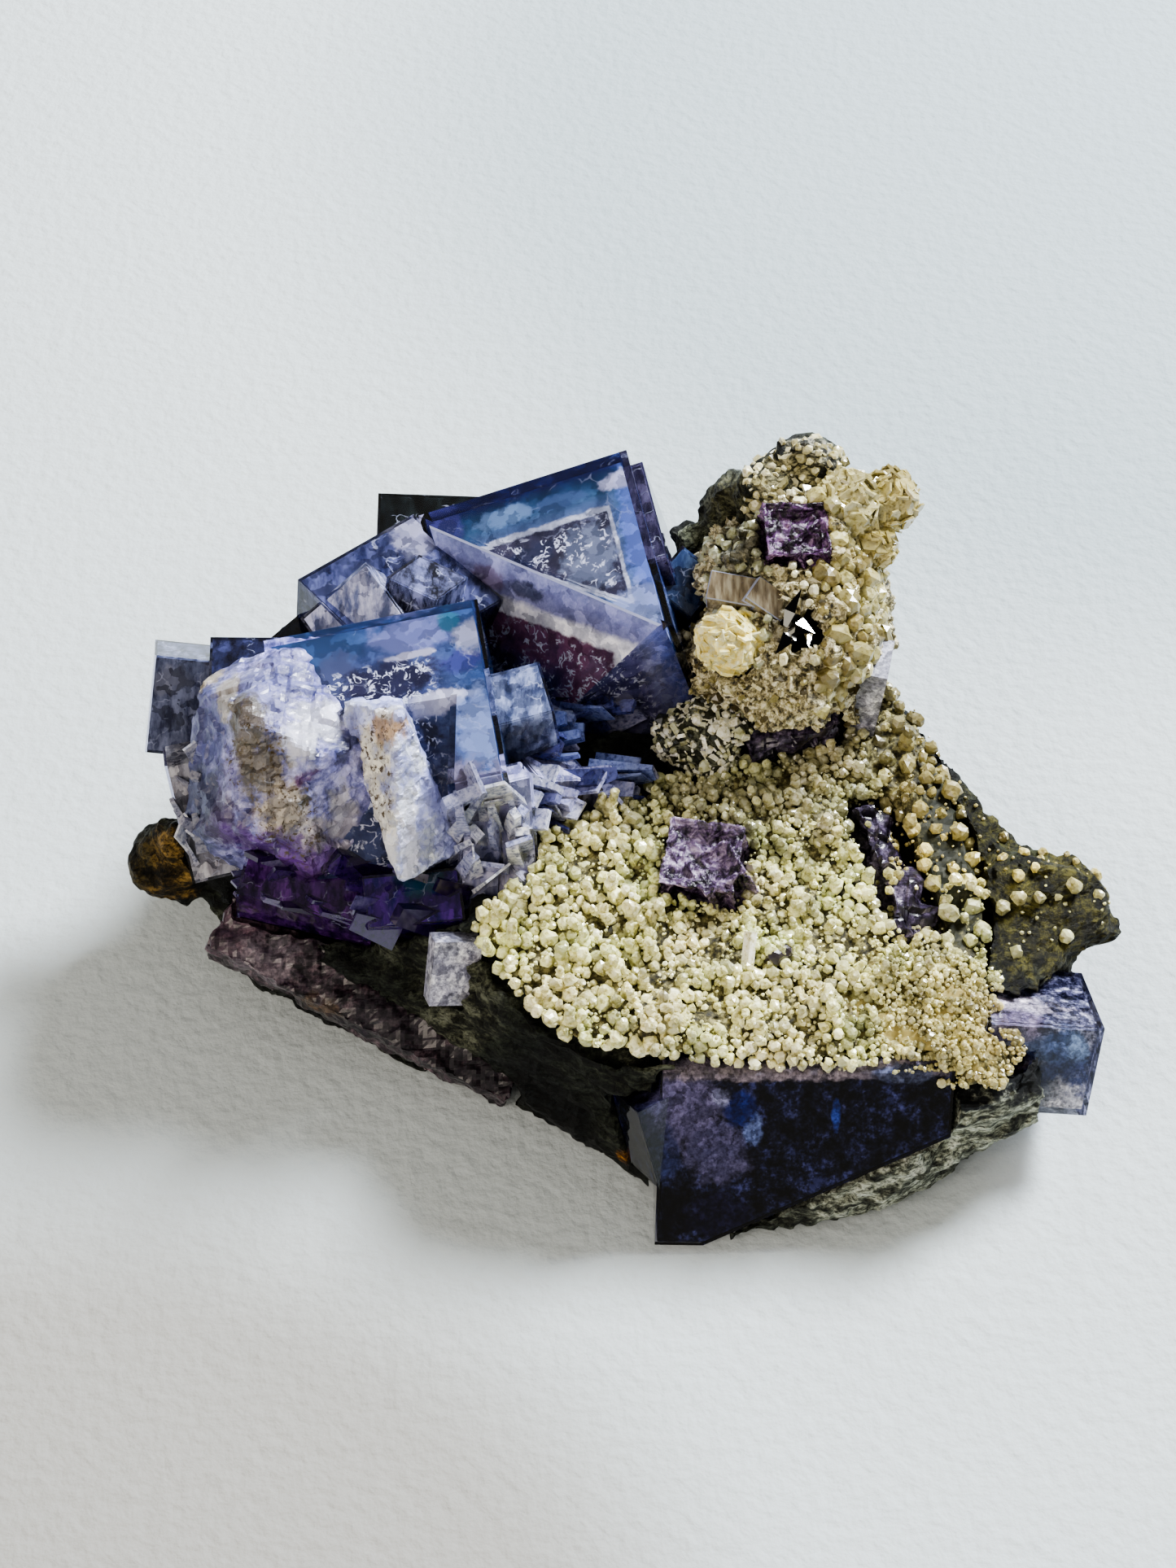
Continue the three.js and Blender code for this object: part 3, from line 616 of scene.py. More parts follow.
LOW_CLOUDS = [
    # Pale blue-lilac on the wall by the missing corner: the crystal's colour, painted lighter where that wall
    # lies in shadow.
    ((2.6, -6.4, 3.5), (2.6, 2.6, 3.6), "#9aa4cc", 0.85),
    ((-5, 6.4, 7), (4.5, 1.8, 2), "#2e4466", 0.8),
    ((-3, 2.6, 7), (1.8, 3.6, 2), "#3b405b", 0.85),
    ((2.8, 6.3, 7), (3.2, 1.9, 2), "#696e99", 0.85),
    ((6, 7, 7), (0.9, 0.9, 2), "#2a5a70", 0.9),
    ((6.6, 3, 7), (1.6, 1.1, 2), "#34346a", 0.75),
    ((0.8, 2.4, 7), (3.6, 2, 2), "#26243a", 0.9),
    ((4.2, -0.2, 7), (2.6, 0.8, 2), "#c2c2d2", 0.85),
    ((2.6, 4.5, 7), (2, 0.35, 2), "#a9a7b5", 0.85),
    ((3.4, -2.3, 7), (2.4, 1.3, 2), "#1c1e31", 0.9),
    ((7, -4, 7), (1.9, 4.2, 2), "#6e7ca1", 0.85),
    ((4, -6, 7), (1.4, 2.2, 2), "#33384f", 0.8),
    ((7.6, 5.2, 7), (1.3, 1.6, 2), "#9292a2", 0.75),
    # Lilac-grey on the front face: the crystal's colour, painted lighter where that face lies in shade.
    ((6, -8, 3), (4, 2, 6), "#847e94", 0.85),
]
# The zones of the high phantom's front face: its own slate and lilac, painted lighter to make up for the
# shade that the face lies in.
STEEP_ZONES = [(0, "#38427c"), (0.2, "#6a72aa"), (0.4, "#9a9cc0"), (0.5, "#66648c"), (1, "#55547c")]
STEEP_CLOUDS = [((2, -7.6, -3), (3, 3, 2), "#8d8ab4", 0.7), ((-2, -7.6, 0), (2.4, 3, 1.4), "#a9a8c8", 0.7)]
high_top = zoned_fluorite(
    "zoned fluorite, high cube", HIGH_CUBE,
    [((1, 0, 0), 8.85, 6.1), ((0, 1, 0), 8.85, 3.9), ((-0.642, -0.766, 0), 2.8, 0.05)],
    TOP_ZONES, TOP_CLOUDS, curls=0.49,
)
high_cleaved = zoned_fluorite(
    "zoned fluorite, cleaved", HIGH_CUBE, [((1, 0, -0.436), 7, 1.7), ((-0.06, 0, 1), 8.5, 4.95)],
    CLEAVED_ZONES, CLEAVED_CLOUDS, curls=0.5,
)
low_top = zoned_fluorite(
    "zoned fluorite, low cube", LOW_CUBE, [((1, 0, 0), 8.5, 4.5), ((0, 1, 0), 8.4, 4.4)],
    LOW_ZONES, LOW_CLOUDS, curls=0.5,
)
high_front_painted_light = zoned_fluorite(
    "zoned fluorite, front of the high cube", HIGH_CUBE, [((1, 0, 0), 8.85, 5.6), ((0, 0, -1), 8.5, 5)],
    STEEP_ZONES, STEEP_CLOUDS, curls=0.5,
)
veil = Look("white healed crack")
veil.surface(Base_Color="#9298b0", Roughness=0.7)
print("zoned fluorite ready")

# %% [markdown]
# The high phantom is the high cube drawn in by 0.7 mm and cut along the same cleavage, 0.4 mm deeper. The
# edge between its top and the cleavage is a healed white crack, so that edge is bevelled and the bevel
# gets a look of its own. The low phantom lies just under its cube's faces and lacks the same front corner.

# %% Phantoms of the two big cubes
PHANTOM_INSET = 0.7
CLEAVAGE_DEPTH = 0.4
bm = bmesh.new()
box_of(bm, HIGH_CUBE, PHANTOM_INSET)
cut_flat(bm, CLEAVAGE_CORNER - CLEAVAGE_NORMAL * CLEAVAGE_DEPTH, CLEAVAGE_NORMAL)
turned = placing(*HIGH_CUBE[::2]).to_3x3()
top_normal, front_normal = turned @ UP, turned @ Vector((0, -1, 0))
cleaved_face = max(bm.faces, key=lambda face: face.normal.dot(CLEAVAGE_NORMAL))
cleaved_face.material_index = 1
crack = [e for e in cleaved_face.edges if max(f.normal.dot(top_normal) for f in e.link_faces) > 0.99]
bmesh.ops.bevel(bm, geom=crack, offset=0.13 * MM, segments=1, profile=0.5, affect="EDGES", material=-1)
bm.normal_update()
# The front face takes the zones that are painted lighter to make up for its shade.
max(bm.faces, key=lambda face: face.normal.dot(front_normal)).material_index = 3
between = (top_normal + CLEAVAGE_NORMAL).normalized()
max(bm.faces, key=lambda face: face.normal.dot(between)).material_index = 2
finish_piece(bm, "high_phantom", [high_top, high_cleaved, veil, high_front_painted_light], "blue_fluorite")
finish_piece(low_cube(inset=0.5), "low_phantom", [low_top], "blue_fluorite")

# %% [markdown]
# The smaller crystals of the cluster get phantoms too, all in one piece. Their colours differ but their
# build doesn't, so each crystal writes its two colours into the mesh as attributes, and one look mixes
# them in streaks.

# %% Streaked fluorite
STREAKED_CLOUDS = [
    ((-17.2, 21, 24.4), (2, 2, 1.6), "#8b8a9c", 0.8),
    ((-15.9, -7.4, 15.9), (1.9, 1.8, 1), "#1f5a6c", 0.8),
    ((-36, 6.6, 22.6), (2.2, 1.8, 1.2), "#6f7180", 0.75),
]
streaked = Look("streaked fluorite")
across = {"Scale": (1.6, 0.5, 0.5), "Rotation": (0.2, 0.1, 0.3)}
stretched = streaked.add("Mapping", across)
streaks = streaked.add("TexNoise", {"Scale": 0.8, "Detail": 7, "Roughness": 0.65, "Vector": stretched})
share = streaked.add("MapRange", {"From Min": 0.4, "From Max": 0.62, "Value": streaks})
pale, deep = (streaked.add("Attribute", attribute_name=name) for name in ("pale", "deep"))
mixed = streaked.add("Mix", {0: share, 6: deep, 7: pale}, **BLENDED)
painted = streaked.fractured(streaked.clouded(mixed, STREAKED_CLOUDS), size=0.9)
streaked.surface(Base_Color=painted, Specular_IOR_Level=0)


def colour_points(bm, verts, name, colour):
    """Writes one colour into an attribute at some points."""
    layer = bm.loops.layers.float_color.get(name) or bm.loops.layers.float_color.new(name)
    for vertex in verts:
        for loop in vertex.link_loops:
            loop[layer] = colour


STREAKED_INSET = 0.2
bm = bmesh.new()
for *crystal, pale_colour, deep_colour in SMALL_CRYSTALS:
    corners = box_of(bm, crystal, STREAKED_INSET)
    colour_points(bm, corners, "pale", linear(pale_colour))
    colour_points(bm, corners, "deep", linear(deep_colour))
finish_piece(bm, "cluster_phantoms", [streaked], "blue_fluorite")

# %% [markdown]
# ## The frosted mass and the pointed crystal
#
# Left of the low cube the fluorite is frosted: etched white, lavender above, deep violet at its foot and
# dusted with rust. It is a lump with broad flat facets, so a ball is cut flat on a few sides, given an
# even skin and roughened. Clouds of colour follow their real places; the two near-white ones on the top
# facet are a painted glare over the etched white.

# %% Frosted fluorite
def frosted_fluorite(name, ground, clouds, rust):
    """Etched crystal: dull, milky, dusted with rust inside some regions."""
    look = Look(name)
    milk, milky = look.mottled(ground, Scale=0.5, Detail=8, Roughness=0.65)
    painted = look.fractured(look.clouded(milky, clouds), size=1.1, depth=0.55)
    # Rust sits in pits 0.2 to 0.5 mm across.
    pits = look.add("TexNoise", {"Scale": 2.2, "Detail": 5, "Roughness": 0.7})
    pitted = look.add("MapRange", {"From Min": 0.53, "From Max": 0.6, "Value": pits})
    for centre, radii in rust:
        region = look.in_cloud(milk, centre, radii, fray=0.7)
        rusty = look.add("Math", {0: pitted, 1: region}, operation="MULTIPLY")
        painted = look.add("Mix", {0: rusty, 6: painted, 7: "#46371a"}, **BLENDED)
    look.bumps(pits, strength=0.5, depth=0.2)
    look.surface(Base_Color=painted, Roughness=0.35, Coat_Weight=0.3, Coat_Roughness=0.15)
    return look


def etched(spot):
    """The relief of an etched face, in mm: flat steps, and a little unevenness on them."""
    steps = 0.24 * noise.cell(spot / 3) + 0.14 * noise.cell(spot / 1.3)
    return steps + 0.1 * noise.noise(spot / 2.6) + 0.1 * noise.noise(spot / 0.7) - 0.12


MASS_GROUND = [(0.4, "#464a7c"), (0.5, "#8484be"), (0.6, "#c6c4f4")]
MASS_CLOUDS = [
    ((-33, 1.5, 21.5), (3.4, 5, 5), "#5a5f92", 0.85),
    ((-27.5, 2.5, 28), (3.6, 3.4, 2.4), "#7a7cac", 0.85),
    # The next two near-white clouds on the top facet are a painted glare of the window lamp over the etched
    # white.
    ((-22.8, 0, 26.8), (2.4, 2.4, 2), "#cfd1e0", 0.9),
    ((-24.6, -2.6, 27), (1.6, 2.4, 2), "#dadbe6", 0.85),
    ((-24.4, 4.4, 27.6), (3.6, 2.4, 2), "#6468a0", 0.8),
    ((-32.6, 5.6, 24), (1.8, 1.4, 1.2), "#b8ad96", 0.85),
    ((-30.8, 2.6, 26.4), (1, 2.6, 1.4), "#c0b7a6", 0.8),
    ((-29, -1.6, 27.2), (1.8, 3, 2), "#5c5442", 0.9),
    ((-28, -4.6, 25.4), (2.4, 2.8, 2.6), "#5a5240", 0.92),
    ((-26, -6.8, 22.8), (2.2, 2.4, 3), "#b0a490", 0.92),
    ((-23.8, -7.2, 20), (1.8, 2, 3), "#d8d0cc", 0.85),
    ((-34.2, 4.2, 22.4), (1.2, 1.4, 1.1), "#0c0a08", 0.95),
    ((-31.8, -5.4, 20), (3.4, 4, 2.8), "#3e2c50", 0.85),
    ((-28.4, -8, 18.2), (5.4, 3.4, 3), "#64408a", 0.95),
    ((-22.4, -7.6, 19), (2.6, 2.4, 2.2), "#8c8098", 0.8),
    ((-23, -7.4, 16.8), (4, 3, 1.8), "#6a4090", 0.85),
    ((-26, -8, 14.8), (7, 3, 2.2), "#54306e", 0.95),
    ((-33.4, -2.6, 18.6), (2.6, 3, 4), "#4d5478", 0.8),
    ((-30.4, -4.2, 24), (1.1, 1.6, 1.4), "#8a84b4", 0.8),
    ((-24, -5.6, 24.6), (1.2, 1.6, 0.8), "#5a2468", 0.9),
    ((-23.8, -6.2, 23.2), (1, 1.6, 0.7), "#3b3512", 0.9),
    ((-23.1, -7.2, 19.6), (1, 1.6, 0.9), "#170d12", 0.95),
    ((-30.4, -7.4, 16.6), (1.6, 1.6, 0.9), "#0e0910", 0.95),
    ((-21.6, -5.4, 21), (1.2, 2, 4), "#b9b5bc", 0.85),
]
MASS_RUST = [((-28.6, -3.6, 26), (2.8, 4.4, 3.4)), ((-25.8, -6.8, 22), (3, 3, 4.6))]
MASS_CENTRE = Vector((-26.4, 1, 19.4))
MASS_RADII = (9.4, 9.2, 10.4)
# A broad facet: its outward direction and how far it lies from the middle, in mm.
MASS_FACETS = [
    ((-0.8, -0.35, 0.5), 7), ((-0.25, -0.75, 0.62), 7.3), ((0.35, 0.1, 0.93), 7.1), ((0.5, -0.8, 0.3), 7.2),
    ((-0.3, -0.93, -0.2), 7.6), ((-0.4, 0.3, 0.86), 8.2), ((-0.95, 0.2, -0.1), 7.2),
]
frosted = frosted_fluorite("frosted fluorite", MASS_GROUND, MASS_CLOUDS, MASS_RUST)
ball_place = placing(MASS_CENTRE, (20, 0, 0)) @ scaling(MASS_RADII)
bm = bmesh.new()
bmesh.ops.create_icosphere(bm, subdivisions=5, radius=1, matrix=ball_place)
for normal, out in MASS_FACETS:
    direction = Vector(normal).normalized()
    cut_flat(bm, MASS_CENTRE + direction * out, direction)
bm = remeshed(bm, voxel=0.32)
roughen(bm, etched)
finish_piece(bm, "frosted_mass", [frosted], "violet_fluorite")

# %% [markdown]
# The pointed crystal is a long prism that shows two faces: the left one is crusted tan and white, and the
# right one is clear lavender. Sloped cuts narrow it to its point and to its foot.

# %% Pointed crystal
TONGUE_GROUND = [(0.36, "#9a9fd1"), (0.5, "#c1c7f5"), (0.64, "#f7fcff")]
TONGUE_CLOUDS = [
    ((-20.4, -4, 25.8), (2.3, 3, 3), "#fff9e3", 0.95),
    ((-19.6, -6.6, 22), (2, 3, 4), "#fffaea", 0.95),
    ((-18.6, -9, 19.6), (1.3, 2, 3), "#ffffff", 0.95),
    ((-18.8, -2.2, 27.6), (2.2, 1.4, 1.4), "#c8a26c", 0.85),
    ((-19.8, -3.2, 26.4), (1.2, 1, 1), "#e0c890", 0.7),
    ((-18.9, -1, 28.4), (1.6, 1, 0.6), "#ffffff", 0.8),
    ((-16.6, -7.4, 20.4), (0.7, 3, 5), "#f7f7ff", 0.7),
]
TONGUE_RUST = [((-19.8, -5.4, 24), (2.2, 5, 5)), ((-18.8, -2, 27.4), (2.2, 1.8, 1.6))]
pointed = frosted_fluorite("etched lavender fluorite", TONGUE_GROUND, TONGUE_CLOUDS, TONGUE_RUST)
bm = bmesh.new()
box_of(bm, TONGUE, inset=-0.1)
for point, normal in TONGUE_FLANKS:
    cut_flat(bm, point, normal)
bm = remeshed(bm, voxel=0.3)
roughen(
    bm, lambda spot: 0.2 * noise.noise(spot / 1.4) + 0.12 * noise.noise(spot / 0.5) + 0.1 * noise.cell(spot),
)
finish_piece(bm, "pointed_crystal", [pointed], "pale_fluorite")

# %% [markdown]
# ## Front and right fluorite
#
# The block in the front edge is so deep a navy that it looks black, with a lilac-grey cloud at its left
# and a few blue and white flashes from cracks, which are painted reflections. It is built as the cubes
# are: a clear skin with the solid's shape and a painted body just inside it. The block in the right edge
# is mauve above and navy in front.

# %% Front and right blocks
def painted_body(name, ground, clouds, gloss=0.0):
    """An opaque body: mottled, with clouds at their real places. Inside clear crystal it has no gloss."""
    look = Look(name)
    _, tone = look.mottled(ground, Scale=0.6, Detail=8, Roughness=0.7)
    shades = [(0.36, "#6a6a70"), (0.5, "#c4c4ca"), (0.62, "#ffffff")]
    _, shade = look.mottled(shades, Scale=2.4, Detail=6, Roughness=0.7)
    shaded = look.add("Mix", {0: 0.9, 6: look.clouded(tone, clouds), 7: shade}, **MULTIPLIED)
    painted = look.fractured(shaded, size=0.8, depth=0.7, cracks=0)
    look.surface(Base_Color=painted, Specular_IOR_Level=gloss, Roughness=0.3)
    return look


NAVY_GROUND = [(0.42, "#0a0b13"), (0.53, "#23263f"), (0.64, "#545a92")]
FRONT_CLOUDS = [
    ((4.2, -24.6, 10), (3, 3, 3.6), "#9b94bd", 0.85),
    ((6.6, -26.6, 7), (2.4, 2.4, 2.6), "#7e7aa2", 0.8),
    ((2.6, -26.6, 6.4), (1.3, 1.6, 3), "#485388", 0.8),
    # The next four small spots are the flashes of cracks: painted reflections, blue and white.
    ((9.4, -25.6, 8.6), (0.7, 1.2, 1.5), "#8fa4dc", 0.95),
    ((8.4, -24.6, 9.8), (1.2, 1.4, 1.4), "#25368b", 0.85),
    ((7, -24.4, 11), (0.8, 0.8, 0.9), "#d8dbfe", 0.9),
    ((15.6, -24.8, 9.4), (0.35, 0.9, 1.5), "#4a64c8", 0.95),
    ((12, -22.6, 12.1), (12, 1.3, 0.5), "#c4b6b8", 0.9),
    ((20.6, -22.9, 12), (2.2, 0.8, 0.6), "#76809c", 0.9),
    ((3.4, -29.2, 2.6), (1.8, 1.6, 2.4), "#08080f", 0.85),
    ((7, -29, 2.6), (2.4, 1.8, 2), "#201d40", 0.8),
    ((0.6, -26, 6.5), (1.7, 3, 5), "#14162c", 0.85),
]
LILAC_GROUND = [(0.42, "#25263a"), (0.52, "#66667e"), (0.62, "#bcbccc")]
RIGHT_CLOUDS = [
    ((31, -14.4, 11.6), (5, 2.6, 1), "#fff2f8", 0.95),
    ((29.4, -18.4, 11.4), (2.2, 1.4, 2), "#9f91a9", 0.8),
    ((32.6, -19.6, 10.4), (2.4, 1.4, 1.8), "#5871a2", 0.8),
    ((34.2, -19.6, 10.6), (1, 1.2, 1.4), "#8da7cb", 0.9),
    ((30.4, -20.6, 8), (3, 1.6, 2), "#4c3f44", 0.85),
    ((33, -21, 8), (3, 1.6, 3), "#46548a", 0.8),
    ((32, -21.4, 5), (4, 2.4, 2.4), "#ffffff", 0.9),
    ((35.6, -19.4, 8.6), (0.4, 1.6, 3), "#20285f", 0.8),
]
FRONT_INSET = 0.2
RIGHT_INSET = 0.4
navy_glass = clear_fluorite("clear navy fluorite", "#4a52a0", density=700, shine=0.2)
lilac_glass = clear_fluorite("clear lilac fluorite", "#7076b4", density=120)
front_body = painted_body("navy fluorite", NAVY_GROUND, FRONT_CLOUDS)
right_body = painted_body("lilac fluorite", LILAC_GROUND, RIGHT_CLOUDS)
for side, glass, body, inset in (
    ("front", navy_glass, front_body, FRONT_INSET), ("right", lilac_glass, right_body, RIGHT_INSET),
):
    node = f"{side}_fluorite"
    finish_piece(merged_copy(node), f"clear_{side}", [glass], "navy_fluorite", node)
    finish_piece(drawn_in(node, inset), f"{side}_body", [body], "navy_fluorite")

# %% [markdown]
# ## Small crystals
#
# The violet cubes in the druse and on the knob are hopper crystals: their faces sink in steps. Insetting
# each face again and again, a little deeper each time, makes the steps. Acid has eaten at them, so an
# even skin is laid over them and its points are pushed in by noise.

# %% Violet hopper cubes
def etched_violet(name, stops):
    """Violet fluorite eaten by acid: dark pits and pale worn edges."""
    look = Look(name)
    etch, tone = look.mottled(stops, Scale=0.9, Detail=8, Roughness=0.7, Distortion=0.8)
    look.bumps(etch, strength=0.5, depth=0.2)
    look.surface(Base_Color=tone, Roughness=0.25)
    return look


GREY_VIOLET = [(0.38, "#0d0a10"), (0.46, "#30243a"), (0.54, "#625070"), (0.64, "#a898b0")]
PURPLE = [(0.4, "#070407"), (0.49, "#2e1932"), (0.56, "#64426f"), (0.66, "#a98da5")]
DRUSE_CUBE = ((6, -6.2, 15.8), (6, 5.8, 5), (14, -6, -11))
DRUSE_TWIN = ((7.4, -7.6, 16.2), (3.8, 3.6, 4), (10, -18, 26))
KNOB_CUBE = ((13, 15, 30.4), (5.2, 4.6, 4.6), (22, 6, 4))
KNOB_TWIN = ((14, 14.2, 30), (3.8, 3.6, 3.8), (40, 24, 38))
HOPPER_STEPS = [(0.45, 0.2), (0.5, 0.3), (0.5, 0.25)]
for name, twins, node, stops in (
    ("druse_cube", (DRUSE_CUBE, DRUSE_TWIN), "druse_fluorite", GREY_VIOLET),
    ("knob_cube", (KNOB_CUBE, KNOB_TWIN), "knob_fluorite", PURPLE),
):
    bm = bmesh.new()
    for crystal in twins:
        box_of(bm, crystal, inset=0.02)
    sides = bm.faces[:]
    for ledge, drop in HOPPER_STEPS:
        bmesh.ops.inset_individual(bm, faces=sides, thickness=ledge * MM, depth=0)
        bmesh.ops.inset_individual(bm, faces=sides, thickness=0.05 * MM, depth=-drop * MM)
    bm = remeshed(bm, voxel=0.13)
    roughen(bm, lambda spot: 0.5 * min(0, noise.noise(spot / 1.3)) + 0.3 * min(0, noise.noise(spot / 0.5)))
    finish_piece(bm, name, [etched_violet(f"etched violet fluorite, {name}", stops)], "violet_fluorite", node)

# %% Dark and pale crystals
DUSKY_GROUND = [(0.42, "#2a2230"), (0.52, "#544860"), (0.62, "#8c8096")]
LAVENDER_GROUND = [(0.35, "#cecce0"), (0.5, "#ecebf8"), (0.65, "#ffffff")]
dusky = painted_body("dusky violet fluorite", DUSKY_GROUND, [], gloss=0.5)
lavender = painted_body("pale lavender fluorite", LAVENDER_GROUND, [], gloss=0.5)
dark_pieces = {}
for place, relief in (("furrow", 1.5), ("ledge", 0.7)):
    name, node = f"{place}_crystal", f"{place}_fluorite"
    bm = remeshed(drawn_in(node, inset=0.05), voxel=0.22)
    roughen(bm, lambda spot: relief * noise.noise(spot / 1.9) + 0.3 * noise.cell(spot / 1.1) - 0.3)
    dark_pieces[place] = finish_piece(bm, name, [dusky], "violet_fluorite", node)
for name, node in (("upright_crystal", "upright_fluorite"), ("lilac_crystal", "lilac_chip")):
    finish_piece(drawn_in(node, inset=0.02), name, [lavender], "pale_fluorite", node)

# %% [markdown]
# The clear prisms on the knob are striated along their length, which a noise that is stretched along it
# gives. The metallic crystals beside them are steep double pyramids, each of two cones with four sides,
# base to base. Their faces are mirror-bright, and every other one is painted near black, a painted
# reflection of the dark, so they look white or black.

# %% Clear striated prisms
quartz = Look("clear striated crystal")
along = {"Rotation": (math.radians(-26), 0, math.radians(14)), "Scale": (2, 0.4, 0.4)}
lines = quartz.add("Mapping", along)
STRIAE = [(0.38, "#8c7e68"), (0.5, "#b4a68c"), (0.62, "#d8d0b6")]
_, striae = quartz.mottled(STRIAE, Vector=lines, Scale=1.2, Detail=3)
quartz.surface(Base_Color=striae, Transmission_Weight=0.55, IOR=FLUORITE_IOR, Roughness=0.12)
bm = drawn_in("clear_prisms", inset=0.02)
bmesh.ops.bevel(bm, geom=bm.edges[:], offset=0.09 * MM, segments=1, profile=0.5, affect="EDGES", material=1)
finish_piece(bm, "striated_prisms", [quartz, veil], "clear_crystal", "clear_prisms")

# %% Metallic crystal
mirror = Look("native sulphide, mirror faces")
mirror.surface(Base_Color="#f2efe6", Metallic=1, Roughness=0.1)
# A near-black mirror on every other face: a painted reflection of the dark around the crystal.
painted_dark_mirror = Look("native sulphide, painted_dark faces")
painted_dark_mirror.surface(Base_Color="#1c1b1e", Metallic=1, Roughness=0.15)
# Where each pyramid's middle is, where one of its faces looks, its turn about that, its width and height.
PYRAMIDS = [
    ((12.8, 8.6, 28.9), (-0.5, -0.6, 0.5), 20, 0.7, 2),
    ((13.3, 8, 28), (0.33, -0.08, 0.94), 110, 0.75, 1.5),
    ((12.5, 7.2, 27.3), (0.3, -0.04, 0.95), 200, 0.85, 1.7),
    ((13.9, 7.6, 27.2), (0.36, -0.12, 0.92), 60, 0.6, 1.3),
]
bm = bmesh.new()
for centre, shine, spin, width, height in PYRAMIDS:
    shine = Vector(shine).normalized()
    leant = Vector((1 / width, 1 / width, 1 / height)).rotation_difference(shine).to_matrix().to_4x4()
    turn = Matrix.Rotation(math.radians(spin), 4, shine) @ leant
    for flip in (0, math.pi):
        half = placing(centre) @ turn @ Matrix.Rotation(flip, 4, "X") @ placing((0, 0, height / 2))
        bmesh.ops.create_cone(bm, segments=4, radius1=width * MM, radius2=0, depth=height * MM, matrix=half)
bmesh.ops.remove_doubles(bm, verts=bm.verts, dist=0.01 * MM)
# The faces take the bright mirror and the painted dark one by turns.
for index, face in enumerate(bm.faces):
    face.material_index = index % 2
finish_piece(bm, "metallic_group", [mirror, painted_dark_mirror], "metallic_crystal", "metal_crystal")

# %% [markdown]
# The mauve layer along the left front is fluorite too, broken across its layers: pinkish and grainy at
# the far end, tan in the middle and smooth grey-brown towards the front.

# %% Mauve layer
MAUVE_CLOUDS = [
    ((-31.4, -8, 9.4), (3.4, 3, 2), "#7c616c", 0.85),
    ((-28.6, -9.8, 8), (2.6, 2.4, 2.4), "#93848b", 0.85),
    ((-24.4, -12.8, 5.4), (2.2, 2, 1.6), "#7b644c", 0.85),
    ((-23, -14, 4.4), (4, 2, 1), "#1e1129", 0.85),
    ((-17, -13.6, 6), (4.6, 2.6, 2.4), "#40373e", 0.85),
    ((-11, -16.6, 4), (4, 2.6, 2.4), "#3c3439", 0.85),
]
MAUVE_GROUND = [(0.36, "#1d1519"), (0.5, "#4a3a42"), (0.64, "#7d6a70")]
mauve = painted_body("layered mauve fluorite", MAUVE_GROUND, MAUVE_CLOUDS, gloss=0.5)
bm = remeshed(merged_copy("mauve_layer"), voxel=0.35)
roughen(bm, lambda spot: 0.5 * noise.noise(spot / 1.6) + 0.2 * noise.noise(spot / 0.6) - 0.25, REST_LEVEL)
finish_piece(bm, "mauve_strip", [mauve], "mauve_fluorite", "mauve_layer")

# %% [markdown]
# ## The mica
#
# The crust is thousands of tiny balls of mica plates, creamy white and a little glossy, with grit between
# them. A few knobbly balls are shaped once, with their corners pushed in and out, and each copy is turned,
# stretched and tinted anew. The balls are thrown onto the crust one by one, and one that would sit too
# deep in another is left out. Under them lies the crust itself, smoothed and lowered, in a darker tone
# that is painted shade in the gaps between the balls.

# %% Looks of the mica
def tinted_look(name, stops, roughness):
    """Small shapes with a soft gloss, each in a tint of its own."""
    look = Look(name)
    tint = look.add("Attribute", attribute_name="tint")
    _, tone = look.mottled(stops, Scale=2.2, Detail=5, Roughness=0.65)
    tinted = look.add("Mix", {0: 1, 6: tone, 7: tint}, **MULTIPLIED)
    look.surface(
        Base_Color=tinted, Roughness=roughness, Specular_IOR_Level=0.7, Coat_Weight=0.5, Coat_Roughness=0.12,
    )
    return look


MICA_STOPS = [(0.36, "#b0a878"), (0.46, "#ece8c8"), (0.58, "#fffef2")]
mica = tinted_look("creamy mica", MICA_STOPS, roughness=0.35)
# The carpet's dark tone is painted shade in the gaps between the balls. Of its clouds, the dark one is
# painted shade in the bare hollow, and the tan one is sandy mica's own colour.
HOLLOW_SHADE_AND_SAND = [((26.4, -4, 14), (3.6, 9, 3), "#1c1f14", 0.9), ((23, -18, 13), (6, 5, 3), "#a3945c", 0.85)]
mica_carpet_painted_shade = Look("packed mica in shade")
_, tone = mica_carpet_painted_shade.mottled(
    [(0.38, "#1c1a10"), (0.5, "#4d482c"), (0.62, "#948d62")], Scale=1.6, Detail=6, Roughness=0.7,
)
mica_carpet_painted_shade.surface(Base_Color=mica_carpet_painted_shade.clouded(tone, HOLLOW_SHADE_AND_SAND), Roughness=0.6, Specular_IOR_Level=0.2)
print("mica ready")

# %% Mica balls
def knobbly(detail, uneven):
    """The points and faces of one knobbly ball with a radius of 1."""
    bm = bmesh.new()
    bmesh.ops.create_icosphere(bm, subdivisions=detail, radius=1)
    points = [vertex.co * random.uniform(1 - uneven, 1 + uneven) for vertex in bm.verts]
    faces = [[vertex.index for vertex in face.verts] for face in bm.faces]
    bm.free()
    return points, faces


def plate(sides=6, thickness=0.3):
    """The points and faces of a flat plate with a radius of 1."""
    ring = [(math.cos(math.tau * i / sides), math.sin(math.tau * i / sides)) for i in range(sides)]
    points = [Vector((x, y, z)) for z in (-thickness / 2, thickness / 2) for x, y in ring]
    walls = [[i, (i + 1) % sides, sides + (i + 1) % sides, sides + i] for i in range(sides)]
    return points, [list(range(sides))[::-1], list(range(sides, 2 * sides)), *walls]


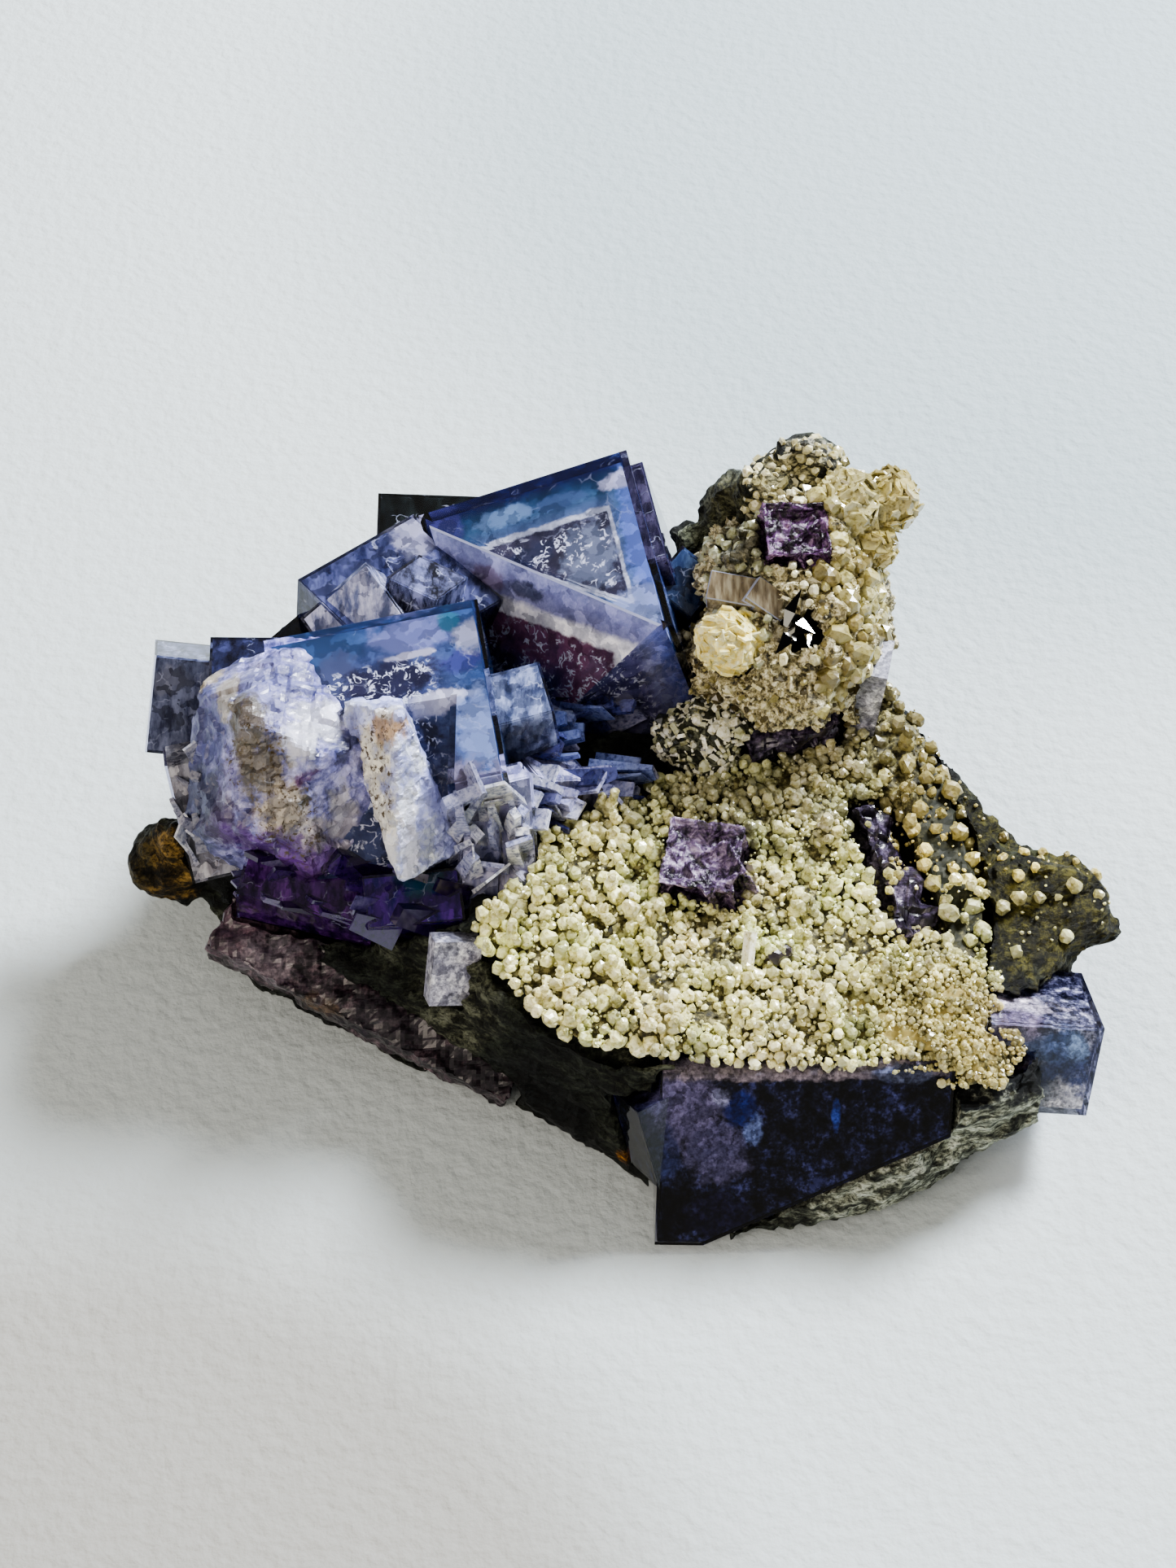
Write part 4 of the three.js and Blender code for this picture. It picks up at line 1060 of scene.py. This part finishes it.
# Crowds of balls are kept in cells of this size in mm, which is more than two balls need between them.
CELL = 1.8
BALLS = [knobbly(detail=2, uneven=0.19) for _ in range(8)]
GRAINS = [knobbly(detail=1, uneven=0.22) for _ in range(5)]
PLATE = plate()
FLAKES = [plate(5, 0.5), plate(6, 0.4), plate(4, 0.6)]


class Heap:
    """Many small shapes that become one mesh, each with a tint."""

    def __init__(self):
        self.points, self.faces, self.tints = [], [], []

    def add(self, shape, place, tint):
        points, faces = shape
        first = len(self.points)
        self.points += [place @ point for point in points]
        self.faces += [[first + index for index in face] for face in faces]
        self.tints += [*tint] * len(points)

    def add_ball(self, shapes, spot, radius, tint):
        """One of some shapes at a place in mm, turned and stretched at random."""
        turn = Matrix.Rotation(random.uniform(0, math.tau), 4, any_direction())
        stretch = scaling([radius * random.uniform(0.82, 1.14) for _ in range(3)])
        self.add(random.choice(shapes), Matrix.Translation(Vector(spot) * MM) @ turn @ stretch, tint)

    def to_bmesh(self):
        mesh = bpy.data.meshes.new("heap")
        mesh.from_pydata(self.points, [], self.faces)
        mesh.color_attributes.new("tint", "FLOAT_COLOR", "POINT").data.foreach_set("color", self.tints)
        bm = bmesh.new()
        bm.from_mesh(mesh)
        bpy.data.meshes.remove(mesh)
        return bm


def settles(crowd, cell, spot, radius, spacing):
    """Whether a ball keeps its distance from a crowd, kept in cells of a size in mm. If so, it joins it."""
    kx, ky, kz = (math.floor(c / cell) for c in spot)
    around = [(kx + i, ky + j, kz + k) for i in (-1, 0, 1) for j in (-1, 0, 1) for k in (-1, 0, 1)]
    room = all(
        (other - spot).length >= (size + radius) * spacing
        for near in around for other, size in crowd.get(near, ())
    )
    if room:
        crowd.setdefault((kx, ky, kz), []).append((spot, radius))
    return room


def on_faces(mesh, count, wanted):
    """Random places in mm on a mesh where they are wanted, with their outward directions."""
    bm = bmesh.new()
    bm.from_mesh(mesh)
    bmesh.ops.triangulate(bm, faces=bm.faces[:])
    faces = [face for face in bm.faces if wanted(face.calc_center_median() / MM, face.normal)]
    places = []
    for face in random.choices(faces, weights=[face.calc_area() for face in faces], k=count):
        a, b, c = (vertex.co for vertex in face.verts)
        u, v = random.random(), random.random()
        if u + v > 1:
            u, v = 1 - u, 1 - v
        places.append(((a + u * (b - a) + v * (c - a)) / MM, face.normal.copy()))
    bm.free()
    return places


print("ball helpers ready")

# %% Balls on the druse
def part_way(value, start, length):
    """How far a value has come from a start, from 0 to 1 over a length."""
    return min(1, max(0, (value - start) / length))


def mica_tint(spot):
    """The tint of a ball: creamy, greener in places and browner at the lower right."""
    green = part_way(noise.noise(spot / 5), -0.5 / 0.9, 1 / 0.9)
    brown = part_way(spot.x, 16, 10) * part_way(-spot.y, 12, 5)
    yellow = part_way(spot.x, 19, 3) * part_way(spot.y, -8, 3)
    back, right = part_way(spot.y, -5, 5), part_way(spot.x, 17, 4)
    shade = random.uniform(0.55, 1.15) * (1 + 0.7 * noise.noise(spot / 2.1))
    shade *= 1 - 0.5 * back
    shade *= 1 - 0.2 * right
    colour = Vector(linear("#fff8d6")[:3])
    for other, share in (("#e4ecba", green), ("#fdeaa0", 0.8 * yellow), ("#cdbd88", 0.8 * brown)):
        colour = colour.lerp(Vector(linear(other)[:3]), share)
    return [*(min(1, c) for c in colour * shade), 1]


def in_hollow(spot):
    """Whether a place lies in the bare hollow at the right."""
    return spot.x > 20.5 - 0.25 * spot.y and spot.y > -13


def druse_ball(spot):
    """The size of a ball in mm and its spacing in each part of the druse."""
    small = random.random() ** 1.5
    if spot.x > 18 and spot.y < -12:
        return 0.4 - 0.24 * small, 0.6
    if in_hollow(spot):
        return 0.85 - 0.45 * small, 1.05
    if spot.x < 1:
        return 0.68 - 0.36 * small, 0.74
    return 0.6 - 0.34 * small, 0.72


def faces_up(spot, normal):
    """Whether balls can lie on the crust here."""
    return normal.z > -0.1


DRUSE_THROWS = 30000
COARSE = 0.34
crust_mesh = solid_mesh("mica_crust")
bm = bmesh.new()
for node in (
    "druse_fluorite", "furrow_fluorite", "front_fluorite", "right_fluorite", "ledge_fluorite",
    "upright_fluorite", "fluorite_cluster", "matrix_rock", "knob_mica_crust",
):
    bm.from_mesh(solid_mesh(node))
blockers = BVHTree.FromBMesh(bm)
bm.free()
crowd = {}
seats = []
for spot, normal in on_faces(crust_mesh, DRUSE_THROWS, faces_up):
    radius, spacing = druse_ball(spot)
    block, _, _, _ = blockers.ray_cast((spot + 0.05 * normal) * MM, normal, 1.2 * MM)
    clump = noise.noise(spot / 1.9)
    if clump < (-0.06 if spot.x < 4 else -0.16) and random.random() < 0.8:
        continue
    seat = spot + (1.2 * clump - random.uniform(0.2, 0.6) * radius) * normal
    if block is None and settles(crowd, CELL, seat, radius, spacing):
        seats.append((seat, radius))
balls, grains = Heap(), Heap()
for spot, radius in seats:
    heap, shapes = (balls, BALLS) if radius > COARSE else (grains, GRAINS)
    heap.add_ball(shapes, spot, radius, mica_tint(spot))
print("balls on the druse:", len(seats))
# One slender white prism stands among the balls, with two dark crumbs of fluorite beside it.
slender = placing((9.2, -13.9, 15.1), (-50, 6, 0)) @ scaling((0.5, 0.4, 0.5))
balls.add(plate(sides=4, thickness=6.4), slender, [1, 1, 1, 1])
for spot, radius in (((11.3, -14.1, 15), 0.8), ((12, -13.7, 14.9), 0.6)):
    balls.add_ball(BALLS, spot, radius, [0.03, 0.02, 0.04, 1])
finish_piece(balls.to_bmesh(), "mica_balls", [mica], "mica", "mica_crust")

# %% Grit between the balls
# Single flakes and crumbs, 0.2 to 0.4 mm across, fill the gaps and dust the balls.
GRIT_THROWS = 3600
for spot, normal in on_faces(crust_mesh, GRIT_THROWS, faces_up):
    if not in_hollow(spot) or random.random() < 0.3:
        seat = spot + random.uniform(-0.3, 0.35) * normal
        grains.add_ball(GRAINS, seat, random.uniform(0.09, 0.2), mica_tint(spot))
finish_piece(grains.to_bmesh(), "mica_grains", [mica], "mica", "mica_crust")

# %% Mica beyond the crust
# Sandy mica spills over the rim between the two dark crystals, and single balls sit along the rock's
# right rim, in the bare hollow and on the dark crystal in the furrow.
def on_spill(spot, normal):
    """Whether sandy mica lies at this place beside the crust."""
    rim = -24.2 + 0.35 * abs(spot.x - 23)
    return 18.8 < spot.x < 28.6 and rim < spot.y < -13 and spot.z > 11 and normal.z > 0.3


def on_rim(spot, normal):
    """Whether single balls sit at this place on the rock."""
    return spot.x > 24 and spot.y > -12 and spot.z > 11.4 and normal.z > 0.1


def on_furrow(spot, normal):
    """Whether mica has grown over the dark crystal in the furrow at this place."""
    return normal.z > 0.2 and noise.noise(spot / 1.6) > 0.24


crowd = {}
spilt = Heap()
for mesh, throws, wanted, sizes, spacing in (
    (rock.data, 9000, on_spill, (0.14, 0.36), 0.55),
    (solid_mesh("front_fluorite"), 1600, on_spill, (0.12, 0.3), 0.55),
    (dark_pieces["furrow"].data, 500, on_furrow, (0.2, 0.5), 0.7),
    (rock.data, 36, on_rim, (0.3, 0.62), 1.2),
    (rock.data, 90, on_rim, (0.1, 0.2), 1.2),
):
    for spot, normal in on_faces(mesh, throws, wanted):
        radius = random.uniform(*sizes)
        if settles(crowd, CELL, spot, radius, spacing):
            spilt.add_ball(BALLS if radius > COARSE else GRAINS, spot, radius, mica_tint(spot))
finish_piece(spilt.to_bmesh(), "mica_spill", [mica], "mica", "mica_crust")

# %% Fingers of mica
# At the left edge the balls stand on each other in short fingers that lean to the left.
FINGER_EDGE = 4
fingers = Heap()
for spot, radius in seats:
    at_edge = spot.x < FINGER_EDGE
    if radius > COARSE and random.random() < (0.5 if at_edge else 0.2):
        lean = Vector((random.uniform(-0.5, 0.2), random.uniform(-0.4, 0.3), 1)).normalized()
        for _ in range(random.choice((1, 1, 2, 3) if at_edge else (1, 1, 2))):
            smaller = radius * random.uniform(0.72, 0.95)
            spot = spot + lean * (radius + smaller) * 0.6
            radius = smaller
            fingers.add_ball(BALLS, spot, radius, mica_tint(spot))
finish_piece(fingers.to_bmesh(), "mica_fingers", [mica], "mica", "mica_crust")

# %% Carpet under the balls
# Its dark look is painted shade between the balls.
bm = remeshed(merged_copy("mica_crust"), voxel=0.5)
for _ in range(6):
    bmesh.ops.smooth_vert(bm, verts=bm.verts, factor=0.5, use_axis_x=True, use_axis_y=True, use_axis_z=True)
roughen(bm, lambda spot: 0.3 * noise.noise(spot / 1.1) - 0.3)
finish_piece(bm, "mica_carpet", [mica_carpet_painted_shade], "mica", "mica_crust")

# %% [markdown]
# Where the crystals meet they are splintered. The splinters are thin blocks that lie nearly side by side,
# so narrowing blocks are thrown onto the solid's surface in each broken region, turned mostly along one
# direction there, and tinted one by one.

# %% Splinters between the crystals
# Each region's middle and radii, the way its splinters point, their number, length and tints.
SPLINTERS = [
    # The first region's near-white tints are the rods' pale colour, painted lighter to make up for the shade
    # that the rods lie in.
    ((-10.4, -5, 19), (3.6, 3.4, 6), (0.1, -0.5, 0.9), 24, 6, ("#ffffff", "#ffffff", "#eceef8", "#c4c7e4")),
    ((-4.4, -0.2, 17.6), (5.4, 3.4, 3.4), (0.75, -0.5, 0.35), 26, 4.6,
     ("#e4e4f2", "#b9b8dc", "#8a8cbc", "#3a3c68")),
    ((-17.6, -9.4, 15), (5.6, 3.6, 3.2), (-0.7, -0.3, 0.5), 13, 4, ("#40246a", "#2a1748", "#54487c")),
    ((-27, -7.4, 15), (7, 4, 2.6), (-0.6, -0.3, 0.5), 12, 3.6, ("#3c2060", "#2c1644", "#5c4c74")),
    ((-34, -2, 17.6), (2, 4, 5), (-0.3, -0.2, 1), 14, 3, ("#ffffff", "#d4d3da", "#a09ea8")),
    ((-1, 4.4, 17), (7, 4.4, 4), (0.8, -0.2, 0.4), 34, 4.4, ("#7f8cc0", "#565c98", "#b4b4d2", "#34355c")),
]
SPLINTER_FACES = [[0, 1, 3, 2], [4, 6, 7, 5], [0, 4, 5, 1], [2, 3, 7, 6], [0, 2, 6, 4], [1, 5, 7, 3]]
THICKNESS, WIDTH, LENGTH = (0.08, 0.3), (0.2, 0.7), (0.6, 1.6)


def shard():
    """The points of a block that narrows to one end, with sides of 1."""
    narrow, thin, shift = random.uniform(0.1, 0.8), random.uniform(0.2, 0.9), random.uniform(-0.3, 0.3)
    foot = [(x, y, -0.5) for x in (-0.5, 0.5) for y in (-0.5, 0.5)]
    tip = [(narrow * x + shift, thin * y, 0.5) for x, y, _ in foot]
    return [Vector(point) for pair in zip(foot, tip) for point in pair]


def in_ball(spot, centre, radii):
    """Whether a place lies in a ball with these radii, all in mm."""
    return sum(((a - b) / r) ** 2 for a, b, r in zip(spot, centre, radii)) < 1


SPLINTER_THROWS = 30000
cluster_places = on_faces(solid_mesh("fluorite_cluster"), SPLINTER_THROWS, lambda spot, normal: True)
splinters = Heap()
for centre, radii, along, count, length, tints in SPLINTERS:
    inside = [place for place in cluster_places if in_ball(place[0], centre, radii)]
    for spot, normal in random.sample(inside, min(len(inside), count)):
        lean = pointing(Vector(along).normalized() + 0.22 * any_direction())
        roll = Matrix.Rotation(random.uniform(0, 0.5) + random.choice((0, math.pi / 2)), 4, "Z")
        stretch = scaling([length * random.uniform(*limits) for limits in (THICKNESS, WIDTH, LENGTH)])
        place = Matrix.Translation((spot - 0.17 * length * normal) * MM) @ lean @ roll @ stretch
        shade = random.uniform(0.6, 1)
        tint = linear(random.choice(tints), shade)
        splinters.add((shard(), SPLINTER_FACES), place, tint)
CHIPPED_STOPS = [(0.36, "#80839c"), (0.48, "#d6d9e8"), (0.6, "#ffffff")]
chipped = tinted_look("splintered fluorite", CHIPPED_STOPS, roughness=0.15)
finish_piece(splinters.to_bmesh(), "splinters", [chipped], "blue_fluorite", "fluorite_cluster")

# %% [markdown]
# ## The knob
#
# Mica covers the front of the knob too: greenish-white balls at its left, tan knobbly crusts on its right
# flank, brown grit below. The balls are thrown onto its surface face by face, with a size and a tint that
# depend on the place.

# %% Knob crust
crusted = Look("brown mica crust")
KNOB_CLOUDS = [
    ((18.6, 12.6, 29), (3, 4, 3.4), "#b0a26c", 0.6),
    ((9, 16, 29.6), (3, 4, 3), "#1b2018", 0.8),
    ((12, 9, 28), (2, 2, 1.6), "#2a2316", 0.7),
]
speck, tone = crusted.mottled(
    [(0.38, "#1a1810"), (0.45, "#665e42"), (0.52, "#b9af86"), (0.6, "#f2ecd2")],
    Scale=1.5, Detail=7, Roughness=0.75,
)
crusted.bumps(speck, strength=0.5, depth=0.3)
crusted.surface(Base_Color=crusted.clouded(tone, KNOB_CLOUDS), Roughness=0.4)


def craggy(spot):
    """The relief of the knob's crust in mm: lumps, ledges and crumbs."""
    lumps = 1.3 * noise.noise(spot / 2.6) + 0.7 * noise.noise(spot / 1.1)
    return lumps + 0.35 * noise.cell(spot / 0.7) + 0.4 * abs(noise.noise(spot / 0.5)) - 0.45


bm = remeshed(merged_copy("knob_mica_crust"), voxel=0.2)
roughen(bm, craggy)
finish_piece(bm, "knob_crust", [crusted], "mica", "knob_mica_crust")

# %% Balls on the knob
FOOT = Vector((7, 6.2, 16.8))


def knob_ball(spot):
    """The shapes, the size in mm, the spacing and the tint of what grows at a place on the knob."""
    small = random.random() ** 1.4
    if spot.z > 25.5 and spot.x < 11.5:
        return BALLS, 0.78 - 0.4 * small, 1, "#c4c8b2"
    if spot.x > 15 and spot.z > 23:
        return BALLS, 1.1 - 0.75 * small, 0.62, random.choice(("#b8ae7a", "#cfc898", "#96895a"))
    if spot.z > 28:
        return random.choice((FLAKES, BALLS)), 0.7 - 0.4 * small, 0.9, "#f4f0dc"
    shapes = random.choice((FLAKES, GRAINS))
    return shapes, 0.6 - 0.45 * small, 1.1, random.choice(("#b4aa7c", "#5a4f32", "#f6f0d6"))


def rock_ball(spot):
    """The same for what grows on the rock at the knob's foot or crown."""
    if (spot - FOOT).length < 6:
        tint = random.choice(("#ffffff", "#ffffff", "#ffffff", "#c9ccb4", "#23271b"))
        return random.choice((FLAKES, GRAINS)), random.uniform(0.2, 0.7), 0.55, tint
    tint = random.choice(("#f0ecd4", "#dcd6b4", "#b5af8c"))
    return random.choice((FLAKES, BALLS)), random.uniform(0.25, 0.8), 0.8, tint


def on_knob(spot, normal):
    """Whether mica grows at this place on the knob's own crust."""
    return normal.z > -0.3 and normal.y < 0.8


def on_foot_or_crown(spot, normal):
    """Whether mica grows at this place on the rock."""
    on_foot = (spot - FOOT).length < 5.6 and spot.z > 15.5
    on_crown = 27.5 < spot.z < 34 and 9.6 < spot.x < 18 and spot.y < 23
    return (on_foot or on_crown) and normal.z > -0.2


MIRROR_MIDDLE = Vector((13.3, 7.6, 27.8))
MIRROR_ROOM = 1.9
crowd = {}
heap = Heap()
for mesh, throws, wanted, choose in (
    (solid_mesh("knob_mica_crust"), 9000, on_knob, knob_ball),
    (rock.data, 20000, on_foot_or_crown, rock_ball),
):
    for spot, normal in on_faces(mesh, throws, wanted):
        shapes, radius, spacing, tint = choose(spot)
        seat = spot - random.uniform(0.1, 0.5) * radius * normal
        clear_of_mirror = (seat - MIRROR_MIDDLE).length > MIRROR_ROOM + radius
        if clear_of_mirror and settles(crowd, CELL, seat, radius, spacing):
            shade = random.uniform(0.55, 1)
            heap.add_ball(shapes, seat, radius, linear(tint, shade))
finish_piece(heap.to_bmesh(), "knob_balls", [mica], "mica", "knob_mica_crust")

# %% [markdown]
# A mica rosette is a ball of overlapping petals. Each petal is a flat six-sided plate, tilted away from
# the ball's surface as a petal is. The two rosettes at the top right catch the light, the one in front is
# creamy.

# %% Rosettes
GOLDEN_TURN = math.pi * (3 - math.sqrt(5))


def rosette(heap, centre, radius, petals, size, tint, ruffle):
    """A ball of overlapping plates, all sizes in mm."""
    shell = 0.86 * radius
    heap.add(BALLS[0], placing(centre) @ scaling([shell] * 3), linear(tint))
    for index in range(petals):
        height = 1 - 2 * (index + 0.5) / petals
        angle = index * GOLDEN_TURN
        flat = math.sqrt(1 - height * height)
        outward = Vector((flat * math.cos(angle), flat * math.sin(angle), height))
        tilt = pointing((outward + ruffle * any_direction()).normalized())
        spot = Vector(centre) + outward * shell * random.uniform(0.9, 1.06)
        turn = tilt @ Matrix.Rotation(random.uniform(0, 1), 4, "Z")
        width = size * random.uniform(0.6, 1.1)
        shade = random.uniform(0.6, 1)
        heap.add(PLATE, Matrix.Translation(spot * MM) @ turn @ scaling([width] * 3), linear(tint, shade))


CREAMY_STOPS = [(0.36, "#ecd88c"), (0.48, "#fff4c0"), (0.58, "#ffffff")]
creamy = tinted_look("creamy mica petals", CREAMY_STOPS, roughness=0.4)
silvery = tinted_look("silvery mica plates", MICA_STOPS, roughness=0.16)
heap = Heap()
rosette(heap, (8, 8.2, 26), radius=2.6, petals=150, size=0.9, tint="#fffbd0", ruffle=0.75)
finish_piece(heap.to_bmesh(), "creamy_rosette", [creamy], "mica_rosette", "mica_rosette")
heap = Heap()
for centre, radius, petals, size, tint in (
    ((17.6, 18, 30.9), 3.1, 200, 0.85, "#cfc8a2"), ((20.8, 19, 30.7), 2.7, 160, 0.8, "#cdc292"),
    ((16.4, 16, 29.8), 1.9, 90, 0.8, "#dcd6b4"), ((19.6, 15.6, 29), 1.8, 90, 0.8, "#c4b988"),
):
    rosette(heap, centre, radius, petals, size, tint, ruffle=0.6)
finish_piece(heap.to_bmesh(), "silvery_rosettes", [silvery], "mica_rosette", "mica_rosette_pair")
